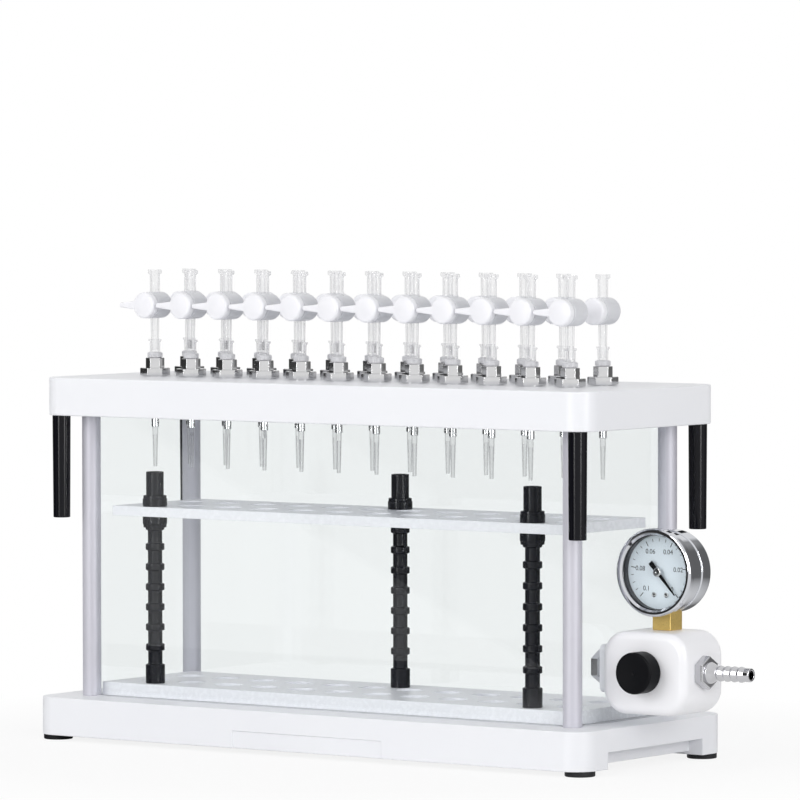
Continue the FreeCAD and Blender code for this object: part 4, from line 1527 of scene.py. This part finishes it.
@dataclass
class Gauge:
    """The round vacuum gauge on its square brass stem."""

    case_radius: float = 24.1 * MM
    step_radius: float = 23.5 * MM
    bezel_radius: float = 25.7 * MM
    sight_radius: float = 21.9 * MM
    dial_radius: float = 22.4 * MM
    zero_deg: float = -48.0
    sweep_deg: float = 276.0
    divisions: int = 10
    tick_outer: float = 19.6 * MM
    major_length: float = 3.0 * MM
    minor_length: float = 1.8 * MM
    number_radius: float = 13.2 * MM
    number_size: float = 3.9 * MM
    numbers: tuple[str, ...] = ("0", "0.02", "0.04", "0.06", "0.08", "0.1")
    ink: float = 0.06 * MM
    screw_spread: float = 4.2 * MM
    screw_aside: float = 0.8 * MM
    screw_drop: float = 13.2 * MM
    pointer_plane: float = -18.8 * MM
    pointer_thick: float = 0.8 * MM
    pointer_half: float = 1.5 * MM
    pointer_reach: float = 17.5 * MM
    pointer_tail: float = 7.5 * MM
    hub_radius: float = 2.7 * MM
    shaft_radius: float = 1.2 * MM

    def build(self) -> None:
        """Model the case, the bezel, the dial with its print, and the pointer."""
        case_low, case_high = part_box("gauge_case")
        centre = (case_low + case_high) / 2
        axis = Vector((centre.x, 0, centre.z))
        self.case(axis, case_low, case_high)
        self.bezel(axis)
        self.window(axis)
        self.shade_ring(axis)
        self.dial(axis)
        self.pointer(axis)
        self.stem()

    def case(self, axis: Vector, low: Vector, high: Vector) -> None:
        """The plated cup, with a rolled step round it."""
        back, front = high.y, low.y
        inner = self.case_radius - 1.6 * MM
        dial_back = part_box("gauge_dial")[1].y
        middle = back - (back - front) * 0.42
        profile = [(back, self.case_radius - 4 * MM), (back, self.case_radius - 1.8 * MM)]
        profile += arc(back - 1.8 * MM, self.case_radius - 1.8 * MM, 1.8 * MM, 10, 90, 5)
        profile += [(middle, self.case_radius), (middle - 0.4 * MM, self.step_radius)]
        profile += [(front, self.step_radius), (front, inner), (dial_back, inner)]
        piece = turned("gauge_cup", profile, axis, Axis.Y, sides=96)
        soften(piece, 0.15 * MM, 2, 30)
        hand_over(piece, CHROMED_STEEL, "base", "gauge_case")

    def bezel(self, axis: Vector) -> None:
        """The rolled ring round the window."""
        low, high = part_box("gauge_bezel")
        front, back = low.y, high.y
        window_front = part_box("gauge_window")[0].y
        soft = 1.5 * MM
        profile = [(back, self.case_radius), (back, self.bezel_radius - 0.4 * MM)]
        profile += [(back - 0.4 * MM, self.bezel_radius)]
        profile += arc(front + soft, self.bezel_radius - soft, soft, 90, 180, 6)
        profile += [(front + 0.1 * MM, self.sight_radius + 1.1 * MM)]
        profile += [(window_front, self.sight_radius), (window_front, self.case_radius)]
        piece = turned_ring("gauge_ring", profile, axis, Axis.Y, sides=96)
        shade(piece, 35.0)
        hand_over(piece, CHROMED_STEEL, "base", "gauge_bezel")

    def window(self, axis: Vector) -> None:
        """The flat glass behind the bezel."""
        low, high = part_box("gauge_window")
        edge = 0.3 * MM
        profile = [(high.y, self.case_radius - edge), (high.y - edge, self.case_radius)]
        profile += [(low.y + edge, self.case_radius), (low.y, self.case_radius - edge)]
        piece = turned("gauge_glass_disc", profile, axis, Axis.Y, sides=96)
        shade(piece)
        hand_over(piece, GAUGE_GLASS, "base", "gauge_window")

    def shade_ring(self, axis: Vector) -> None:
        """A black ring between the glass and the dial, which stands for the shade inside the bezel: painted
        shade.
        """
        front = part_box("gauge_window")[1].y
        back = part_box("gauge_dial")[0].y
        inner = self.dial_radius - 0.9 * MM
        profile = [(back, inner), (back, self.dial_radius), (front, self.dial_radius), (front, inner)]
        piece = turned_ring("bezel_shade_ring", profile, axis, Axis.Y, sides=96)
        soften(piece, 0.12 * MM, 2, 40)
        hand_over(piece, BEZEL_SHADE_BLACK, "base")

    def dial(self, axis: Vector) -> None:
        """The dial disc with its printed scale, plain numbers and two small screws."""
        low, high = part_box("gauge_dial")
        face = low.y
        hole = 1.25 * MM
        profile = [(high.y, hole), (high.y, self.dial_radius), (face, self.dial_radius), (face, hole)]
        disc = turned_ring("dial_plate", profile, axis, Axis.Y, sides=96)
        shade(disc)
        hand_over(disc, DIAL_ENAMEL, "base", "gauge_dial")
        marks = []
        for index in range(2 * self.divisions + 1):
            share = index / (2 * self.divisions)
            major = index % 4 == 0
            length = self.major_length if major else self.minor_length
            half = (0.22 if major else 0.14) * MM
            tick = block(
                "tick",
                Vector((axis.x + self.tick_outer - length, face - self.ink, axis.z - half)),
                Vector((axis.x + self.tick_outer, face, axis.z + half)),
            )
            self.swing(tick, axis, self.zero_deg + self.sweep_deg * share)
            marks.append(tick)
        for index, text in enumerate(self.numbers):
            angle = math.radians(self.zero_deg + self.sweep_deg * index / (len(self.numbers) - 1))
            place = axis + Vector((math.cos(angle), 0, math.sin(angle))) * self.number_radius
            marks.append(self.number(text, Vector((place.x, face, place.z))))
        hand_over(joined(marks, "dial_scale"), DIAL_INK, "base")
        screws = []
        for side in (-1, 1):
            aside = side * self.screw_spread + self.screw_aside
            place = Vector((axis.x + aside, face, axis.z - self.screw_drop))
            profile = [(0, 1.5 * MM), (-0.5 * MM, 1.5 * MM), (-0.8 * MM, 1.1 * MM), (-0.4 * MM, 0.7 * MM)]
            screws.append(turned("dial_screw", profile, place, Axis.Y, sides=SLIM_ROUND))
        screw_group = joined(screws, "dial_screws")
        shade(screw_group)
        hand_over(screw_group, NICKEL_PLATE, "base")

    @staticmethod
    def swing(piece: bpy.types.Object, axis: Vector, angle_deg: float) -> None:
        """Turn a mark about the dial's centre, anticlockwise as seen from the front.

        Args:
            piece: A mark that lies to the right of the centre.
            axis: The dial's centre.
            angle_deg: The angle from the right-hand side.
        """
        turn = Matrix.Rotation(math.radians(-angle_deg), 4, "Y")
        move = Matrix.Translation(axis)
        piece.data.transform(move @ turn @ move.inverted())

    def number(self, text: str, place: Vector) -> bpy.types.Object:
        """Set one plain number upright on the dial.

        Args:
            text: The number.
            place: Its middle, on the dial's face.

        Returns:
            The number as a mesh.
        """
        clear_selection()
        bpy.ops.object.text_add(location=(0, 0, 0))
        label = bpy.context.active_object
        label.data.body = text
        label.data.size = self.number_size
        label.data.align_x = "CENTER"
        label.data.align_y = "CENTER"
        label.data.extrude = self.ink / 2
        bpy.ops.object.convert(target="MESH")
        label.data.transform(Matrix.Rotation(math.radians(90), 4, "X"))
        label.data.transform(Matrix.Translation(place - Vector((0, self.ink / 2, 0))))
        return label

    def pointer(self, axis: Vector) -> None:
        """The pointer: hub, tapered arm and a broad counterweight."""
        low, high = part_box("gauge_pointer")
        plane, thick = self.pointer_plane, self.pointer_thick
        arm = block(
            "pointer_arm",
            Vector((axis.x - self.pointer_tail, plane, axis.z - self.pointer_half)),
            Vector((axis.x, plane + thick, axis.z + self.pointer_half)),
        )
        centre = Vector((axis.x, plane, axis.z))
        with editing(arm):
            pick_faces(arm, lambda middle, normal: normal.x > 0.9)
            bpy.ops.transform.resize(value=(1, 1, 0.73), center_override=centre)
            bpy.ops.mesh.extrude_region_move(TRANSFORM_OT_translate={"value": (self.pointer_reach, 0, 0)})
            bpy.ops.transform.resize(value=(1, 1, 0.27), center_override=centre)
        soften(arm, 0.12 * MM, 2)
        self.swing(arm, axis, self.zero_deg)
        hand_over(arm, BLACK_KNOB, "gauge_needle", "gauge_pointer")
        soft, chamfer, shaft = 0.6 * MM, 0.2 * MM, self.shaft_radius
        profile = [(high.y, shaft - chamfer), (high.y - chamfer, shaft), (plane + thick, shaft)]
        profile += [(plane + thick, self.hub_radius)]
        profile += arc(low.y + soft, self.hub_radius - soft, soft, 90, 180, 4)
        profile += [(low.y, 0.9 * MM), (low.y + 0.25 * MM, 0.7 * MM)]
        hub = turned("pointer_hub", profile, axis, Axis.Y, sides=48)
        shade(hub)
        hand_over(hub, NICKEL_PLATE, "gauge_needle")

    def stem(self) -> None:
        """The square brass stem between the block and the case."""
        low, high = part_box("gauge_stem")
        top = high.z + 1.0 * MM
        piece = block("brass_stem", low, Vector((high.x, high.y, top)))
        soften(piece, 0.5 * MM, 3)
        hand_over(piece, BRASS, "base", "gauge_stem")


@dataclass(frozen=True)
class Viewpoint:
    """Where the camera stands and what it takes in."""

    target: tuple[float, float, float] = (0.0, 0.0, 0.2075)
    distance: float = 3.6303
    azimuth_deg: float = 36.02
    elevation_deg: float = 2.44
    roll_deg: float = -0.07
    lens_mm: float = 271.4
    shift: tuple[float, float] = (0.0321, 0.0054)

    def back(self) -> Vector:
        """The way from the target to the camera."""
        azimuth, elevation = math.radians(self.azimuth_deg), math.radians(self.elevation_deg)
        level = math.cos(elevation)
        return Vector((math.sin(azimuth) * level, -math.cos(azimuth) * level, math.sin(elevation)))

    def place(self) -> None:
        """Create the camera and make it the scene's."""
        camera = bpy.data.objects.new("camera", bpy.data.cameras.new("camera"))
        bpy.context.scene.collection.objects.link(camera)
        camera.location = Vector(self.target) + self.back() * self.distance
        aim = (-self.back()).to_track_quat("-Z", "Y")
        camera.rotation_mode = "QUATERNION"
        camera.rotation_quaternion = aim @ Quaternion((0, 0, 1), math.radians(self.roll_deg))
        camera.data.lens = self.lens_mm
        camera.data.sensor_width = 36.0
        camera.data.shift_x, camera.data.shift_y = self.shift
        camera.data.clip_start, camera.data.clip_end = 0.05, 60.0
        bpy.context.scene.camera = camera


# The height on the object that the lamps are aimed at
AIM_HEIGHT = 140 * MM


@dataclass(frozen=True)
class Lamp:
    """One soft lamp: where it hangs, how large and how strong it is, and whether only gloss shows it."""

    name: str
    azimuth_deg: float
    height: float
    distance: float
    width: float
    tall: float
    watts: float
    only_gloss: bool = False

    def hang(self) -> None:
        """Create the lamp, aimed at the middle of the object."""
        light = bpy.data.lights.new(self.name, "AREA")
        light.shape = "RECTANGLE"
        light.size, light.size_y = self.width, self.tall
        light.energy = self.watts
        lamp = bpy.data.objects.new(self.name, light)
        lamp.visible_diffuse = not self.only_gloss
        lamp.visible_glossy = self.only_gloss
        bpy.context.scene.collection.objects.link(lamp)
        azimuth = math.radians(self.azimuth_deg)
        level = Vector((math.sin(azimuth), -math.cos(azimuth), 0)) * self.distance
        lamp.location = level + Vector((0, 0, self.height))
        aim = Vector((0, 0, AIM_HEIGHT)) - lamp.location
        lamp.rotation_euler = aim.to_track_quat("-Z", "Y").to_euler()


@dataclass
class Studio:
    """A white room: pale floor with a soft shadow, white surround, plain soft lamps and two dark flags.

    Bright metal and gloss show the room by the way that they look: white in front, at the right and
    behind, dark where the flags stand, at the front left, which keeps the panes clear, and at the back
    right, which darkens the gauge's case. Overhead it is white. The room is a list of azimuths in
    degrees, 0 for the front and 90 for the right, each with its level.
    """

    floor_size: float = 30.0
    floor_colours: tuple[str, str] = ("#ECECEC", "#EDEDED")
    floor_grain_mm: float = 10 / 3
    near_lift: float = 0.86
    lift_from: float = 0.24
    lift_to: float = 0.42
    world_level: float = 0.68
    overhead: tuple[float, float] = (0.45, 0.75)
    overhead_level: float = 0.95
    card_y: float = -0.60
    card_level: float = 0.4
    card_corners: tuple[tuple[float, float], ...] = (
        (-0.75, 0.001),
        (-0.22, 0.001),
        (-0.75, 0.2385),
        (-0.56, 0.153),
    )
    room: tuple[tuple[float, float], ...] = (
        (-180.0, 0.12),
        (-172.0, 0.90),
        (-122.0, 0.90),
        (-110.0, 0.04),
        (-20.0, 0.04),
        (2.0, 0.90),
        (60.0, 0.95),
        (118.0, 0.80),
        (132.0, 0.16),
        (176.0, 0.16),
        (180.0, 0.12),
    )
    lamps: tuple[Lamp, ...] = field(
        default_factory=lambda: (
            Lamp("key_lamp", -22.0, 0.9, 2.4, 1.6, 1.2, 19.5),
            Lamp("fill_lamp", 66.0, 0.8, 2.5, 1.4, 1.2, 16.0),
            Lamp("left_strip", -3.0, 0.9, 2.6, 0.45, 2.2, 42.0, True),
            Lamp("right_strip", 75.0, 0.9, 2.6, 0.45, 2.2, 50.0, True),
        )
    )

    def build(self) -> None:
        """Set the view transform, the world, the floor and the lamps."""
        bpy.context.scene.view_settings.view_transform = "Standard"
        self.surround()
        self.floor()
        self.mirror_card()
        for lamp in self.lamps:
            lamp.hang()

    def mirror_card(self) -> None:
        """A bright card in front, cut on a slant, that only mirror images show, mostly in the front pane."""
        clear_selection()
        bpy.ops.mesh.primitive_plane_add(size=1.0, rotation=(math.pi / 2, 0, 0))
        card = settle("mirror_card")
        for vertex, (x, z) in zip(card.data.vertices, self.card_corners):
            vertex.co = (x, self.card_y, z)
        material, tree = blank_tree("bright_card")
        glow = add_node(tree, "Emission", {"Color": self.grey(1.0), "Strength": self.card_level})
        add_node(tree, "OutputMaterial", {"Surface": glow.outputs["Emission"]})
        card.data.materials.append(material)
        card.visible_camera = False
        card.visible_diffuse = False
        card.visible_transmission = False
        card.visible_shadow = False

    @staticmethod
    def looked_at(tree: bpy.types.NodeTree) -> bpy.types.NodeSocket:
        """1 for the rays that see the background as it is: camera and transmission rays."""
        return either_ray(tree, "Is Camera Ray", "Is Transmission Ray")

    def room_level(self, tree: bpy.types.NodeTree, way: bpy.types.NodeSocket) -> bpy.types.NodeSocket:
        """How bright the room is in a bright surface, by the azimuth that the surface looks to.

        Args:
            tree: The node tree of the world or the floor.
            way: The direction or the place that is looked at.

        Returns:
            The level, 1 for white.
        """
        parts = add_node(tree, "SeparateXYZ", {"Vector": way})
        front = maths(tree, "MULTIPLY", parts.outputs["Y"], -1.0)
        azimuth = maths(tree, "ARCTAN2", parts.outputs["X"], front)
        share = ranged(tree, azimuth, (0.0, 1.0), (-math.pi, math.pi))
        ramp = add_node(tree, "ValToRGB", {"Fac": share})
        stops = ramp.color_ramp.elements
        for azimuth_deg, level in self.room[1:-1]:
            stops.new((azimuth_deg + 180.0) / 360.0).color = self.grey(level)
        for stop, (_, level) in ((stops[0], self.room[0]), (stops[-1], self.room[-1])):
            stop.color = self.grey(level)
        above = ranged(tree, parts.outputs["Z"], (0.0, 1.0), self.overhead, "SMOOTHSTEP")
        return mixed(tree, above, ramp.outputs["Color"], self.grey(self.overhead_level))

    @staticmethod
    def grey(level: float) -> tuple[float, float, float, float]:
        """A grey of one level, as the colour that a node takes."""
        return (level, level, level, 1.0)

    def surround(self) -> None:
        """A white world for the eye, the room for bright surfaces, and a plain level of light."""
        world = bpy.data.worlds.new("white_room")
        bpy.context.scene.world = world
        world.use_nodes = True
        tree = world.node_tree
        tree.nodes.clear()
        room = self.room_level(tree, add_node(tree, "TexCoord", {}).outputs["Generated"])
        glossy = add_node(tree, "LightPath", {}).outputs["Is Glossy Ray"]
        lit = mixed(tree, glossy, self.grey(self.world_level), room)
        seen = mixed(tree, self.looked_at(tree), lit, self.grey(1.0))
        sky = add_node(tree, "Background", {"Color": seen, "Strength": 1.0})
        add_node(tree, "OutputWorld", {"Surface": sky.outputs["Background"]})

    def floor(self) -> None:
        """A pale floor that takes the soft shadow and runs into the white surround."""
        clear_selection()
        bpy.ops.mesh.primitive_plane_add(size=self.floor_size, location=(0, 0, 0))
        sheet = settle("studio_floor")
        material, tree = blank_tree("pale_floor")
        coordinates = add_node(tree, "TexCoord", {}).outputs["Object"]
        grain = noise(tree, coordinates, self.floor_grain_mm)
        tone = mixed(tree, grain, linear(self.floor_colours[0]), linear(self.floor_colours[1]))
        matt = add_node(tree, "BsdfDiffuse", {"Color": tone})
        distance = add_node(tree, "VectorMath", {"operation": "LENGTH", 0: coordinates})
        reach = (self.lift_from, self.lift_to)
        lift = ranged(tree, distance.outputs["Value"], (self.near_lift, 1.0), reach)
        glow = add_node(tree, "Emission", {"Color": self.grey(1.0), "Strength": 1.0})
        lit = between(tree, maths(tree, "MULTIPLY", self.looked_at(tree), lift), matt, glow)
        mirrored = add_node(tree, "Emission", {"Color": self.room_level(tree, coordinates), "Strength": 1.0})
        glossy = add_node(tree, "LightPath", {}).outputs["Is Glossy Ray"]
        surface = between(tree, glossy, lit, mirrored)
        add_node(tree, "OutputMaterial", {"Surface": surface.outputs["Shader"]})
        sheet.data.materials.append(material)


def main() -> None:
    """Build the sub-assemblies in order, then the studio and the camera."""
    logging.basicConfig(level=logging.INFO, format="%(name)s: %(message)s")
    for kind in (BaseSlab, Tank, Lid, Fittings, Stopcocks, Rack, VacuumBlock, Gauge, Studio):
        assembly = kind()
        assembly.build()
        LOG.info("%s is built", type(assembly).__name__)
    Viewpoint().place()


if __name__ == "__main__":
    main()
